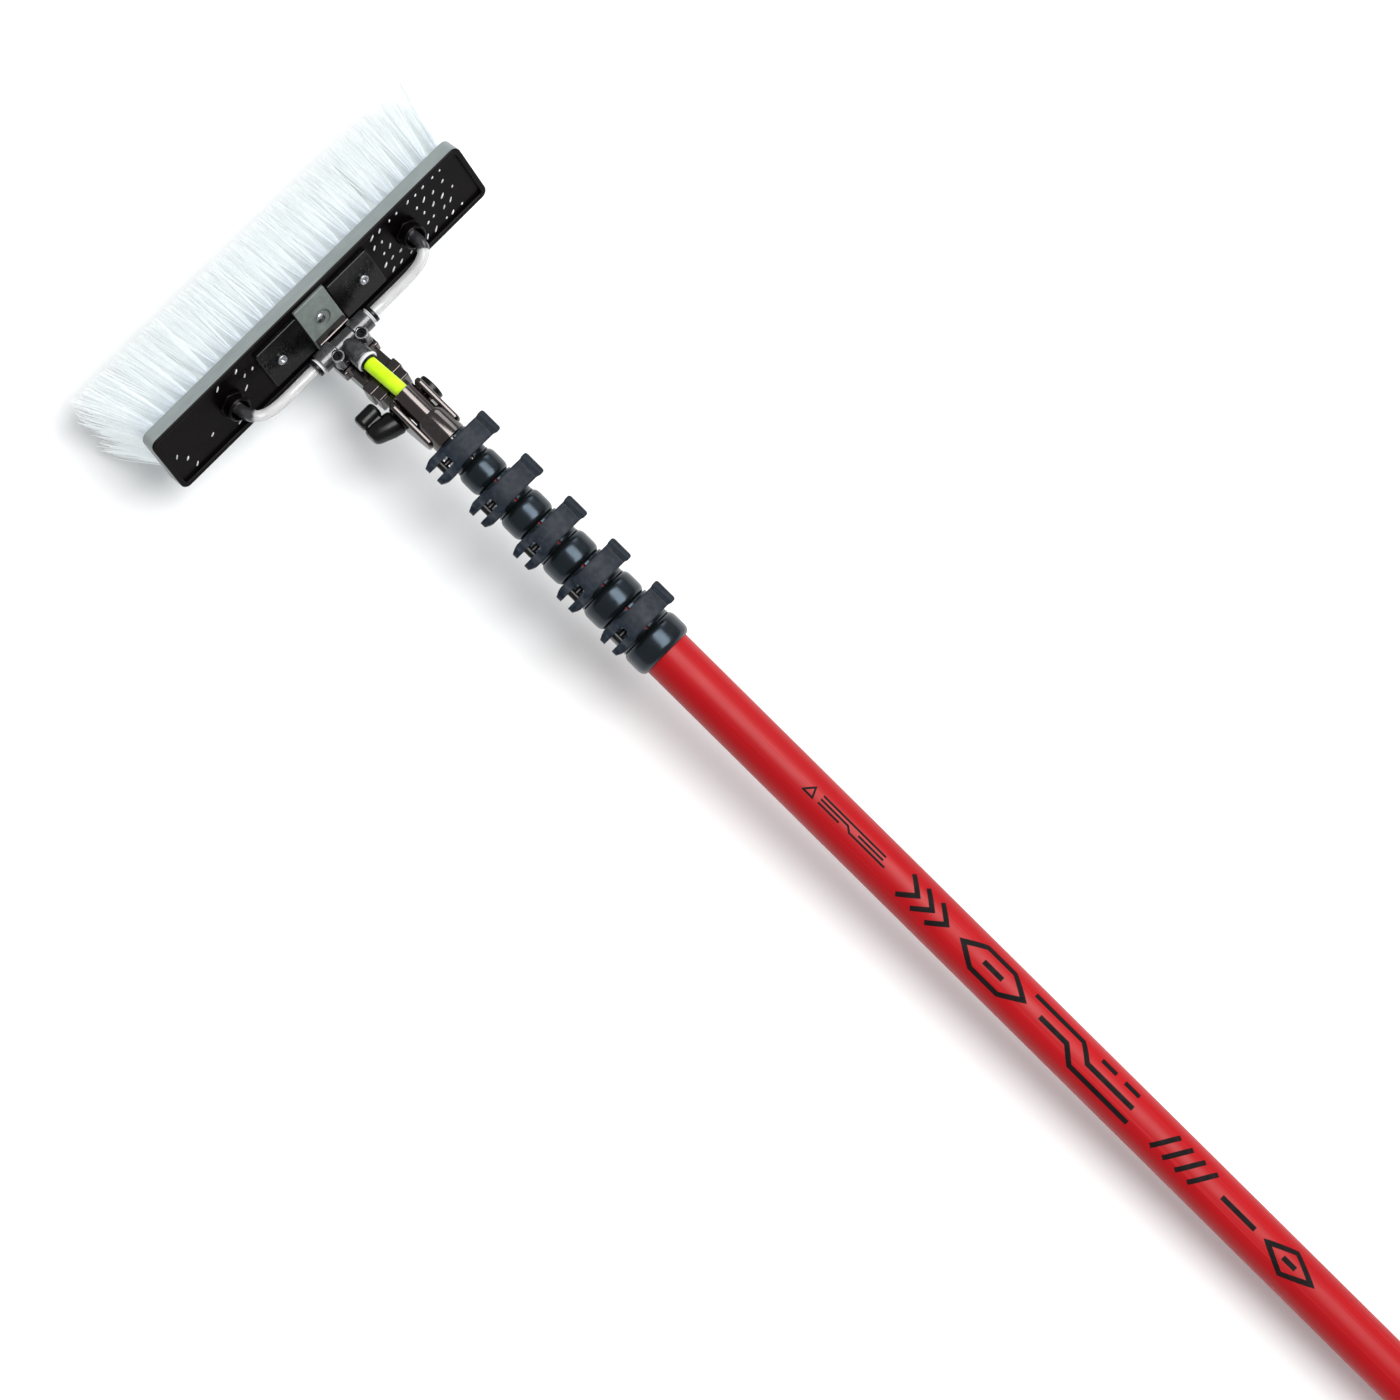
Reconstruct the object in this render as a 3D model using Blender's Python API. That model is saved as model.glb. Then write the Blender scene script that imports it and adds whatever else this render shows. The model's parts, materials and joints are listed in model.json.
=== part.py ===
"""Window cleaning pole system.

A telescopic pole of six nested tubes with five lever clamps, a tilting neck, and a wide brush head
with a push-in tee that feeds two water jets. Metres, +Z up. The pole runs along +X with the brush
at its +X end, and lies on the floor on its butt and on its bristle tips.

Each sub-part is built in the frame of the empty that carries it:
  pole_frame   X along the pole towards the brush, Z away from the floor
  pivot_frame  on the neck's pivot, X along the neck arm
  brush_frame  on the middle of the stock's back, Z out of the back, X across the stock
"""

import math

import bmesh
import bpy
from mathutils import Matrix, Vector

GAP = 0.0003                 # clearance between neighbouring pieces
ROUND = 32                   # facets round a large cylinder
ROUND_SMALL = 14             # facets round a screw or a pin
PAST = 0.004                 # how far a cutter stands out of what it cuts

# Pole
SECTIONS = 6
SECTION_LENGTH = 1.250
BASE_RADIUS = 0.0185
RADIUS_STEP = 0.00185        # each section is this much smaller in radius
WALL = 0.00125
CLAMP_PITCH = 0.042          # clamp to clamp, with the pole collapsed
TUBE_IN_COLLAR = 0.016
TOP_MOUTH_X = 0.257          # mouth of the top section, between the neck's cheeks

# Clamp collar and its screw
CUP_LENGTH = 0.020
CUP_WALL = 0.0045
CUP_CROWN = 0.0024
COLLAR_LENGTH = 0.0414
RING_WALL = 0.004
RING_CLEARANCE = 0.00035
SLIT_WIDTH = 0.0024
EAR_START_X = 0.0226
EAR_END_X = 0.0390
EAR_LEFT_Y = 0.0132
EAR_RIGHT_Y = -0.0090
EAR_ABOVE_SCREW = 0.0038
SCREW_ABOVE_TUBE = 0.0065
SCREW_RADIUS = 0.0020
SCREW_HEAD_RADIUS = 0.0036
SCREW_HEAD_HEIGHT = 0.0034

# Clamp lever and the pin it turns on
PIN_Y = 0.0196
PIN_RADIUS = 0.0030
PIN_LENGTH = 0.0176
LEVER_MIDDLE_X = 0.0310
LEVER_WIDTH = 0.0184
LEVER_FORK_FLARE = 1.10      # width at the fork, as a share of LEVER_WIDTH
LEVER_WAIST = 0.92
LEVER_SLOT = 0.0070
LEVER_SLOT_END = -0.0064     # from the pin
CAM_SMALL_RADIUS = 0.0060
CAM_NOSE_RADIUS = 0.0098
PLATE_OUTER = 0.0096         # above the pin's axis, at the crown of the plate
PLATE_INNER = 0.0064
PLATE_CROWN_Y = -0.0216      # from the pin
PLATE_CURVE_RADIUS = 0.052
LIP_Y = -0.0476              # from the pin
LIP_CORNER = 0.0024

# Neck
PIVOT_X = 0.246
PIVOT_Z = -0.016
SOCKET_START_X = 0.210
SOCKET_END_X = 0.233
SOCKET_RADIUS = 0.0130
CHEEK_INNER_Y = 0.0104
CHEEK_OUTER_Y = 0.0150
CHEEK_START_X = 0.2145
CHEEK_END_X = 0.2565
CHEEK_TOP_Z = 0.0055
CHEEK_EYE_RADIUS = 0.0092
BOLT_RADIUS = 0.0030
BOLT_CAP_RADIUS = 0.0100
BOLT_CAP_HEIGHT = 0.0050
ARM_ANGLE = math.radians(22.7)       # the arm dips this far below the pole's axis
ARM_HALF_WIDTH = 0.0135
ARM_HALF_DEPTH = 0.0075
ARM_START = 0.017
TONGUE_RADIUS = 0.0063
TONGUE_HALF_WIDTH = 0.0100
BOLT_END_Y = 0.0265
KNOB_START_Y = 0.0154
KNOB_END_Y = 0.0370
KNOB_HUB_RADII = ((0.0, 0.0090), (0.08, 0.0096), (0.40, 0.0086), (0.75, 0.0069), (0.93, 0.0062),
                  (1.0, 0.0047))     # share of the hub's length, radius
KNOB_LEAN = 0.0056           # how far the hub's outer end stands off the bolt, towards the brush
KNOB_LOBE_X = 0.0173
KNOB_LOBE_RADIUS = 0.0062
KNOB_LOBE_START_Y = 0.0190
KNOB_LOBE_END_Y = 0.0364
KNOB_WEB_HALF = 0.0044
KNOB_TILT = math.radians(-6.0)

# Tee, in the pivot frame
TEE_X = 0.0646
TEE_Z = 0.0167
RUN_RADIUS = 0.00785
RUN_WAIST_RADIUS = 0.0062
RUN_WAIST_HALF = 0.0085
RUN_HALF = 0.0235
STEM_RADIUS = 0.00825
STEM_LENGTH = 0.0217
CHANNEL_RADIUS = 0.0030
COLLET_TRAVEL = 0.0010
TEE_SCREW_X = -0.0072
TEE_SCREW_Y = 0.0116
TEE_BOSS_RADIUS = 0.0047
TEE_BOSS_TOP = 0.0045
TEE_SCREW_HOLE = 0.0022
TEE_SCREW_SEAT = 0.0002

# Hoses
FEED_RADIUS = 0.00535
FEED_BORE = 0.0035
RINSE_RADIUS = 0.0040
RINSE_BORE = 0.0027

# Brush, in the brush frame
BRUSH_ANGLE = math.radians(50.0)     # from the pole's Z to the stock's back normal
STOCK_BACK_X = 0.0851                # middle of the stock's back, in the pivot frame
STOCK_BACK_Z = 0.02585
STOCK_LENGTH = 0.300
STOCK_WIDTH = 0.054
STOCK_CORNER = 0.006
RIM_THICKNESS = 0.0012
TRAY_FLOOR = -0.0028
TRAY_BOTTOM = -0.0046
STOCK_BOTTOM = -0.0142
JET_Y = 0.086
JET_STEM_RADIUS = 0.0080
PAD_INNER_Y = 0.0150
PAD_OUTER_Y = 0.0540
PAD_HALF_WIDTH = 0.018
PAD_SCREW_Y = 0.040
PAD_SCREW_HOLE = 0.0021
PAD_TOP = 0.0009
SADDLE_HALF_LENGTH = 0.0144
SADDLE_HALF_WIDTH = 0.0222
SADDLE_TOP = 0.0010
SADDLE_RECESS_FLOOR = -0.0010
SADDLE_RECESS_RADIUS = 0.0075
RIVET_RADIUS = 0.0024
RIVET_HOLE = 0.0027
RIVET_HEAD_RADIUS = 0.0040
NOZZLE_ROOM_RADIUS = 0.0106
NOZZLE_ROOM_DEPTH = 0.008
BRISTLE_LENGTH = 0.065
TUFT_SPREAD_ENDS = 0.021
TUFT_SPREAD_SIDES = 0.0115


# Meshes and objects

def clear_scene():
    """Remove everything that the scene starts with."""
    for obj in list(bpy.data.objects):
        bpy.data.objects.remove(obj, do_unlink=True)


def material(name, red, green, blue, roughness, metallic=0.0):
    """Return a Principled material from an 8-bit display colour."""
    mat = bpy.data.materials.get(name)
    if mat:
        return mat
    mat = bpy.data.materials.new(name)
    mat.use_nodes = True
    shader = mat.node_tree.nodes["Principled BSDF"]
    colour = [(channel / 255.0) ** 2.2 for channel in (red, green, blue)]
    shader.inputs["Base Color"].default_value = (*colour, 1.0)
    shader.inputs["Roughness"].default_value = roughness
    shader.inputs["Metallic"].default_value = metallic
    mat.diffuse_color = (*colour, 1.0)
    return mat


def empty(name, parent=None, location=(0.0, 0.0, 0.0), rotation=(0.0, 0.0, 0.0)):
    """Add an empty that carries sub-parts."""
    obj = bpy.data.objects.new(name, None)
    bpy.context.collection.objects.link(obj)
    obj.empty_display_size = 0.03
    obj.parent = parent
    obj.location = location
    obj.rotation_euler = rotation
    return obj


def mesh_object(name, bm):
    """Turn a bmesh into a linked object, with its faces pointing out."""
    bmesh.ops.remove_doubles(bm, verts=bm.verts, dist=1e-6)
    bmesh.ops.recalc_face_normals(bm, faces=bm.faces)
    mesh = bpy.data.meshes.new(name)
    bm.to_mesh(mesh)
    bm.free()
    obj = bpy.data.objects.new(name, mesh)
    bpy.context.collection.objects.link(obj)
    return obj


def combine(target, tool, operation):
    """Apply one exact Boolean to target, and remove the tool."""
    modifier = target.modifiers.new(operation.title(), "BOOLEAN")
    modifier.operation = operation
    modifier.solver = "EXACT"
    modifier.object = tool
    evaluated = target.evaluated_get(bpy.context.evaluated_depsgraph_get())
    mesh = bpy.data.meshes.new_from_object(evaluated)
    target.modifiers.remove(modifier)
    target.data = mesh
    bpy.data.objects.remove(tool, do_unlink=True)
    return target


def join(target, *tools):
    """Union tools into target."""
    for tool in tools:
        combine(target, tool, "UNION")
    return target


def cut(target, *tools):
    """Cut tools out of target."""
    for tool in tools:
        combine(target, tool, "DIFFERENCE")
    return target


def bevel(obj, width, segments=1, angle=math.radians(40.0)):
    """Round the sharp edges of obj, before anything is joined to it or cut from it."""
    modifier = obj.modifiers.new("Rounded edges", "BEVEL")
    modifier.width = width
    modifier.segments = segments
    modifier.limit_method = "ANGLE"
    modifier.angle_limit = angle
    evaluated = obj.evaluated_get(bpy.context.evaluated_depsgraph_get())
    mesh = bpy.data.meshes.new_from_object(evaluated)
    obj.modifiers.remove(modifier)
    obj.data = mesh
    return obj


def finish(obj, mat, parent, location=(0.0, 0.0, 0.0), rotation=(0.0, 0.0, 0.0)):
    """Give obj its material, its shading and its place."""
    obj.data.materials.clear()
    obj.data.materials.append(mat)
    obj.data.shade_smooth()
    obj.data.set_sharp_from_angle(angle=math.radians(35.0))
    obj.parent = parent
    obj.location = location
    obj.rotation_euler = rotation
    return obj


AXIS_TURN = {
    "X": Matrix.Identity(3),
    "Y": Matrix.Rotation(math.radians(90.0), 3, "Z"),
    "Z": Matrix.Rotation(math.radians(-90.0), 3, "Y"),
}


def turned(name, profile, axis="X", centre=(0.0, 0.0, 0.0), facets=ROUND):
    """Spin an outline of (along, radius) points about an axis through centre."""
    bm = bmesh.new()
    turn = AXIS_TURN[axis]
    verts = [bm.verts.new(turn @ Vector((along, 0.0, radius))) for along, radius in profile]
    edges = [bm.edges.new(pair) for pair in zip(verts, verts[1:])]
    on_axis = profile[0][1] == 0.0 and profile[-1][1] == 0.0
    if not on_axis:
        edges.append(bm.edges.new((verts[-1], verts[0])))
    bmesh.ops.spin(bm, geom=verts + edges, cent=(0.0, 0.0, 0.0), axis=turn @ Vector((1.0, 0.0, 0.0)),
                   angle=math.tau, steps=facets, use_merge=True)
    bmesh.ops.remove_doubles(bm, verts=bm.verts, dist=1e-6)
    bmesh.ops.translate(bm, verts=bm.verts, vec=centre)
    return mesh_object(name, bm)


def rod(name, start, end, radius, axis="X", centre=(0.0, 0.0, 0.0), facets=ROUND_SMALL):
    """A plain round bar or cutter, from start to end along an axis."""
    profile = [(start, 0.0), (start, radius), (end, radius), (end, 0.0)]
    return turned(name, profile, axis, centre, facets)


def block(name, low, high):
    """A box between two corners."""
    bm = bmesh.new()
    size = Vector(high) - Vector(low)
    middle = (Vector(high) + Vector(low)) / 2.0
    bmesh.ops.create_cube(bm, size=1.0, matrix=Matrix.Translation(middle) @ Matrix.Diagonal((*size, 1.0)))
    return mesh_object(name, bm)


def arc(centre_x, centre_y, radius, start, end, steps):
    """Points on an arc, angles in degrees."""
    angles = [math.radians(start + (end - start) * i / steps) for i in range(steps + 1)]
    return [(centre_x + radius * math.cos(a), centre_y + radius * math.sin(a)) for a in angles]


def extruded(name, outline, low, high, along="Y"):
    """Extrude a closed outline. Its points are (x, z) along Y, or (y, z) along X."""
    bm = bmesh.new()
    if along == "Y":
        verts = [bm.verts.new((x, low, z)) for x, z in outline]
        step = Vector((0.0, high - low, 0.0))
    else:
        verts = [bm.verts.new((low, y, z)) for y, z in outline]
        step = Vector((high - low, 0.0, 0.0))
    face = bm.faces.new(verts)
    top = bmesh.ops.extrude_face_region(bm, geom=[face])["geom"]
    moved = [item for item in top if isinstance(item, bmesh.types.BMVert)]
    bmesh.ops.translate(bm, verts=moved, vec=step)
    return mesh_object(name, bm)


def slab_outline(half_x, half_y, corner, steps=5):
    """Corner-rounded rectangle as (x, y) points."""
    points = []
    for sign_x, sign_y, start in ((1, 1, 0), (-1, 1, 90), (-1, -1, 180), (1, -1, 270)):
        centre = (sign_x * (half_x - corner), sign_y * (half_y - corner))
        points += arc(*centre, corner, start, start + 90, steps)
    return points


def lofted(name, loops):
    """Bridge a stack of (outline, z) loops of equal length, and close both ends."""
    bm = bmesh.new()
    rings = [[bm.verts.new((x, y, z)) for x, y in outline] for outline, z in loops]
    for lower, upper in zip(rings, rings[1:]):
        for i, vert in enumerate(lower):
            after = (i + 1) % len(lower)
            bm.faces.new((vert, lower[after], upper[after], upper[i]))
    bm.faces.new(rings[0])
    bm.faces.new(rings[-1])
    return mesh_object(name, bm)


def bezier(start, start_handle, end_handle, end, steps):
    """Points on one cubic curve."""
    points = []
    for i in range(steps + 1):
        t = i / steps
        s = 1.0 - t
        points.append(start * s ** 3 + start_handle * (3 * s * s * t)
                      + end_handle * (3 * s * t * t) + end * t ** 3)
    return points


def hose(name, path, radius, bore, facets=12):
    """A hollow hose swept along path, with flat ring ends."""
    bm = bmesh.new()
    tangents = []
    for i in range(len(path)):
        before = path[max(i - 1, 0)]
        after = path[min(i + 1, len(path) - 1)]
        tangents.append((after - before).normalized())
    side = tangents[0].orthogonal().normalized()
    rings = []
    for point, tangent, previous in zip(path, tangents, [tangents[0], *tangents]):
        side = previous.rotation_difference(tangent) @ side
        other = tangent.cross(side)
        ring = {}
        for size in (radius, bore):
            turns = [math.tau * k / facets for k in range(facets)]
            ring[size] = [bm.verts.new(point + size * (math.cos(a) * side + math.sin(a) * other))
                          for a in turns]
        rings.append(ring)
    for lower, upper in zip(rings, rings[1:]):
        for size in (radius, bore):
            for k in range(facets):
                after = (k + 1) % facets
                bm.faces.new((lower[size][k], lower[size][after], upper[size][after], upper[size][k]))
    for ring in (rings[0], rings[-1]):
        for k in range(facets):
            after = (k + 1) % facets
            bm.faces.new((ring[radius][k], ring[radius][after], ring[bore][after], ring[bore][k]))
    return mesh_object(name, bm)


# Finishes

def red_lacquer():
    return material("red_lacquer", 196, 36, 42, 0.34)


def dark_lacquer():
    return material("dark_lacquer", 46, 32, 32, 0.22)


def clamp_plastic():
    return material("clamp_plastic", 62, 68, 76, 0.55)


def black_plastic():
    return material("black_plastic", 28, 27, 29, 0.38)


def bright_steel():
    return material("bright_steel", 196, 198, 202, 0.28, 1.0)


def grey_plastic():
    return material("grey_plastic", 138, 146, 144, 0.5)


# Pole

def section_radius(index):
    """Outer radius of a section; the base tube is section 1."""
    return BASE_RADIUS - RADIUS_STEP * (index - 1)


def section_top(index):
    """Where a section's upper end sits along the pole."""
    if index == SECTIONS:
        return TOP_MOUTH_X
    return CLAMP_PITCH * (index - 1) + TUBE_IN_COLLAR


def section_bottom(index):
    """Where a section's lower end sits along the pole."""
    return CLAMP_PITCH * (index - 1) + TUBE_IN_COLLAR - SECTION_LENGTH


def add_section(index, pole):
    """One tube of the telescope."""
    outer = section_radius(index)
    inner = outer - WALL
    length = section_top(index) - section_bottom(index)
    name = "base_tube" if index == 1 else f"section_{index}_tube"
    profile = [(0.0, inner), (0.0, outer), (length, outer), (length, inner)]
    mat = dark_lacquer() if index == SECTIONS else red_lacquer()
    return finish(turned(name, profile), mat, pole, (section_bottom(index), 0.0, 0.0))


def add_end_cap(pole):
    """Rubber cap in the butt end, with the hole that the feed hose leaves by."""
    flange_radius = BASE_RADIUS + 0.0012
    flange = 0.0070
    spigot_radius = BASE_RADIUS - WALL - GAP
    spigot_end = flange + 0.012
    hole = 0.0070
    edge = 0.0016
    profile = [(0.0, hole), (0.0, flange_radius - edge)]
    profile += [(x, r) for x, r in arc(edge, flange_radius - edge, edge, 180, 90, 4)][1:]
    profile += [(flange, flange_radius), (flange, spigot_radius), (spigot_end, spigot_radius),
                (spigot_end, hole)]
    cap = turned("base_end_cap", profile)
    place = (section_bottom(1) - GAP - flange, 0.0, 0.0)
    return finish(cap, material("cap_rubber", 30, 30, 32, 0.7), pole, place)


def cup_profile(radius, points=7):
    """Outside of a collar's cup: a barrel with rounded ends."""
    profile = []
    for i in range(points):
        along = 2.0 * i / (points - 1) - 1.0
        profile.append((CUP_LENGTH * (along + 1.0) / 2.0, radius - CUP_CROWN * abs(along) ** 5))
    return profile


def add_collar(index, pole):
    """Cup on the section's end, with a slit ring and two ears that the screw pulls together."""
    tube = section_radius(index)
    next_tube = section_radius(index + 1)
    bore = next_tube + RING_CLEARANCE
    ring = next_tube + RING_WALL
    screw_z = next_tube + SCREW_ABOVE_TUBE
    profile = cup_profile(tube + CUP_WALL)
    profile += [(CUP_LENGTH + 0.0004, ring + 0.0006), (COLLAR_LENGTH - 0.0006, ring),
                (COLLAR_LENGTH, ring - 0.0006), (COLLAR_LENGTH, bore), (TUBE_IN_COLLAR + GAP, bore),
                (TUBE_IN_COLLAR + GAP, tube + GAP), (0.0, tube + GAP)]
    collar = turned(f"clamp_{index}_collar", profile)
    ears = block("ears", (EAR_START_X, EAR_RIGHT_Y, 0.0), (EAR_END_X, EAR_LEFT_Y, screw_z + EAR_ABOVE_SCREW))
    bevel(ears, 0.0010)
    middle = (0.0, 0.0, 0.0)
    cut(ears, rod("ear_bore", EAR_START_X - PAST, EAR_END_X + PAST, next_tube + RING_WALL / 2, "X",
                  middle, ROUND))
    join(collar, ears)
    slit_top = screw_z + EAR_ABOVE_SCREW + PAST
    cut(collar, block("slit", (CUP_LENGTH + 0.0008, -SLIT_WIDTH / 2, 0.0),
                      (COLLAR_LENGTH + PAST, SLIT_WIDTH / 2, slit_top)))
    cut(collar, rod("screw_hole", EAR_RIGHT_Y - PAST, EAR_LEFT_Y + PAST, SCREW_RADIUS + 0.0004, "Y",
                    (LEVER_MIDDLE_X, 0.0, screw_z)))
    return finish(collar, material("collar_plastic", 36, 41, 43, 0.3), pole,
                  (CLAMP_PITCH * (index - 1), 0.0, 0.0))


def plate_height(level, y):
    """Height of the lever plate's surface over the pin's axis."""
    return level - (y - PLATE_CROWN_Y) ** 2 / (2.0 * PLATE_CURVE_RADIUS)


def cam_outline():
    """Cam round the pin: small towards the ear, with a nose that points away from it."""
    points = []
    steps = 24
    for i in range(steps + 1):
        turn = math.radians(150.0 + 300.0 * i / steps)
        nose = max(math.cos(turn), 0.0) ** 4
        radius = CAM_SMALL_RADIUS + (CAM_NOSE_RADIUS - CAM_SMALL_RADIUS) * nose
        points.append((radius * math.cos(turn), radius * math.sin(turn)))
    return points


def lever_outline():
    """Side view of the lever as (y, z) from the pin: cam, arched plate and finger lip."""
    steps = 14
    outer_ys = [-0.004 + (LIP_Y + 0.0050 + 0.004) * i / steps for i in range(steps + 1)]
    outer = [(y, plate_height(PLATE_OUTER, y)) for y in outer_ys]
    lip_z = plate_height(PLATE_OUTER, LIP_Y)
    lip = arc(LIP_Y + 0.0024, lip_z + 0.0006, 0.0024, 80, 250, 6)
    inner_ys = [LIP_Y + 0.0040 + (-0.0068 - LIP_Y - 0.0040) * i / steps for i in range(steps + 1)]
    inner = [(y, plate_height(PLATE_INNER, y)) for y in inner_ys]
    return cam_outline() + outer + lip + inner


def ramp(value, start, end):
    """Smooth step from 0 at start to 1 at end."""
    share = min(max((value - start) / (end - start), 0.0), 1.0)
    return share * share * (3.0 - 2.0 * share)


def lever_width_factor(y):
    """Plan shape of the lever: flared fork with rounded tips, waisted plate, full-width lip."""
    fork = ramp(y, -0.011, -0.004) * (LEVER_FORK_FLARE - LEVER_WAIST)
    lip = ramp(y, LIP_Y + 0.0075, LIP_Y + 0.0045) * (1.0 - LEVER_WAIST)
    tip = ramp(y, 0.003, CAM_NOSE_RADIUS + 0.002) * 0.30
    past_corner = min(max((LIP_Y + LIP_CORNER - y) / LIP_CORNER, 0.0), 1.0)
    corner = (1.0 - math.sqrt(1.0 - past_corner ** 2)) * LIP_CORNER / (LEVER_WIDTH / 2.0)
    return LEVER_WAIST + fork + lip - tip - corner


def add_lever(index, pole):
    """Cam lever of a clamp, with its origin on the pin that it turns on."""
    name = f"clamp_{index}_lever"
    half = LEVER_WIDTH / 2.0
    lever = bevel(extruded(name, lever_outline(), -half, half, "X"), 0.0007)
    for vert in lever.data.vertices:
        vert.co.x *= lever_width_factor(vert.co.y)
    reach = CAM_NOSE_RADIUS + PAST
    cut(lever, block("fork_slot", (-LEVER_SLOT / 2, LEVER_SLOT_END, -reach), (LEVER_SLOT / 2, reach, reach)))
    cut(lever, rod("pin_bore", -half - PAST, half + PAST, PIN_RADIUS + GAP))
    pin_z = section_radius(index + 1) + SCREW_ABOVE_TUBE
    place = (CLAMP_PITCH * (index - 1) + LEVER_MIDDLE_X, PIN_Y, pin_z)
    return finish(lever, clamp_plastic(), pole, place)


def add_barrel_pin(index, pole):
    """Cross pin in the lever's cams, drilled for the tension screw."""
    half = PIN_LENGTH / 2.0
    edge = 0.0004
    profile = [(-half, 0.0), (-half, PIN_RADIUS - edge), (-half + edge, PIN_RADIUS),
               (half - edge, PIN_RADIUS), (half, PIN_RADIUS - edge), (half, 0.0)]
    pin = turned(f"clamp_{index}_barrel_pin", profile, facets=ROUND_SMALL)
    cut(pin, rod("screw_seat", -0.008, 0.0018, SCREW_RADIUS + GAP, "Y"))
    pin_z = section_radius(index + 1) + SCREW_ABOVE_TUBE
    place = (CLAMP_PITCH * (index - 1) + LEVER_MIDDLE_X, PIN_Y, pin_z)
    return finish(pin, black_plastic(), pole, place)


def socket_screw(name, head_radius, head_height, shank_radius, shank_length, axis):
    """Socket-head screw with its head's underside at the origin and its shank along +axis."""
    edge = 0.0004
    recess = head_height * 0.6
    hexagon = head_radius * 0.5
    profile = [(-head_height + recess, 0.0), (-head_height + recess, hexagon), (-head_height, hexagon),
               (-head_height, head_radius - edge), (-head_height + edge, head_radius),
               (0.0, head_radius), (0.0, shank_radius), (shank_length - edge, shank_radius),
               (shank_length, shank_radius - edge), (shank_length, 0.0)]
    return turned(name, profile, axis, facets=ROUND_SMALL)


def add_tension_screw(index, pole):
    """Screw that pulls the ears together, its head on the right ear and its end in the pin."""
    head_seat = EAR_RIGHT_Y - GAP
    length = PIN_Y + 0.0014 - head_seat
    screw = socket_screw(f"clamp_{index}_tension_screw", SCREW_HEAD_RADIUS, SCREW_HEAD_HEIGHT,
                         SCREW_RADIUS, length, "Y")
    screw_z = section_radius(index + 1) + SCREW_ABOVE_TUBE
    place = (CLAMP_PITCH * (index - 1) + LEVER_MIDDLE_X, head_seat, screw_z)
    return finish(screw, bright_steel(), pole, place)


# Neck

def cheek_outline():
    """Side view of a neck cheek: round eye under the tube, straight top edge beside it."""
    eye = arc(PIVOT_X, PIVOT_Z, CHEEK_EYE_RADIUS, -118, -8, 8)
    top = arc(CHEEK_END_X - 0.004, CHEEK_TOP_Z - 0.004, 0.004, 0, 90, 4)
    heel = arc(CHEEK_START_X + 0.005, CHEEK_TOP_Z - 0.005, 0.005, 90, 180, 4)
    return eye + top + heel + [(CHEEK_START_X, -0.008), (CHEEK_START_X + 0.004, -0.0115)]


def add_neck_socket(pole):
    """Barrel fixed on the top section, with the two cheeks that hold the pivot bolt."""
    edge = 0.0010
    bore = section_radius(SECTIONS) + GAP
    barrel = [(SOCKET_START_X, bore), (SOCKET_START_X, SOCKET_RADIUS - edge),
              (SOCKET_START_X + edge, SOCKET_RADIUS), (SOCKET_END_X - 0.004, SOCKET_RADIUS - 0.0006),
              (SOCKET_END_X, SOCKET_RADIUS - 0.0026), (SOCKET_END_X, bore)]
    socket = turned("neck_socket", barrel)
    for side in (1, -1):
        low, high = sorted((side * CHEEK_INNER_Y, side * CHEEK_OUTER_Y))
        join(socket, bevel(extruded("cheek", cheek_outline(), low, high), 0.0008))
    cut(socket, rod("bolt_hole", -CHEEK_OUTER_Y - PAST, CHEEK_OUTER_Y + PAST, BOLT_RADIUS + GAP, "Y",
                    (PIVOT_X, 0.0, PIVOT_Z)))
    return finish(socket, dark_lacquer(), pole)


def add_pivot_bolt(pole):
    """Bolt across the cheeks, with a round cap on the right side."""
    cap_seat = -CHEEK_OUTER_Y - GAP
    edge = 0.0012
    cap = [(cap_seat - BOLT_CAP_HEIGHT, 0.0), (cap_seat - BOLT_CAP_HEIGHT, BOLT_CAP_RADIUS - edge),
           (cap_seat - BOLT_CAP_HEIGHT + edge, BOLT_CAP_RADIUS), (cap_seat, BOLT_CAP_RADIUS),
           (cap_seat, BOLT_RADIUS), (BOLT_END_Y, BOLT_RADIUS), (BOLT_END_Y, 0.0)]
    bolt = turned("pivot_bolt", cap, "Y", facets=24)
    return finish(bolt, black_plastic(), pole, (PIVOT_X, 0.0, PIVOT_Z))


def add_pivot_knob(pole):
    """Clamp knob on the bolt: a hub that leans to the brush as it narrows, and a lobe beside it."""
    span = KNOB_END_Y - KNOB_START_Y
    hub = []
    for share, radius in KNOB_HUB_RADII:
        lean = KNOB_LEAN * ramp(share, 0.0, 0.9)
        hub.append((arc(lean, 0.0, radius, 0, 345, 23), KNOB_START_Y + span * share))
    knob = lofted("pivot_knob", hub)
    knob.data.transform(Matrix.Rotation(math.radians(-90.0), 4, "X"))
    low = KNOB_LOBE_START_Y
    high = KNOB_LOBE_END_Y
    radius = KNOB_LOBE_RADIUS
    edge = 0.0030
    part_edge = edge * 0.3
    lobe = [(low, 0.0), (low, radius - edge), (low + part_edge, radius - part_edge), (low + edge, radius),
            (high - edge, radius), (high - part_edge, radius - part_edge), (high, radius - edge),
            (high, 0.0)]
    join(knob, turned("lobe", lobe, "Y", (KNOB_LOBE_X, 0.0, 0.0), 24))
    web_inset = 0.0021
    web = block("web", (KNOB_LEAN, low + web_inset, -KNOB_WEB_HALF),
                (KNOB_LOBE_X, high - web_inset, KNOB_WEB_HALF))
    join(knob, bevel(web, 0.0015))
    cut(knob, rod("bolt_seat", KNOB_START_Y - PAST, BOLT_END_Y + 2.0 * GAP, BOLT_RADIUS + GAP, "Y"))
    return finish(knob, black_plastic(), pole, (PIVOT_X, 0.0, PIVOT_Z), (0.0, KNOB_TILT, 0.0))


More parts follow.
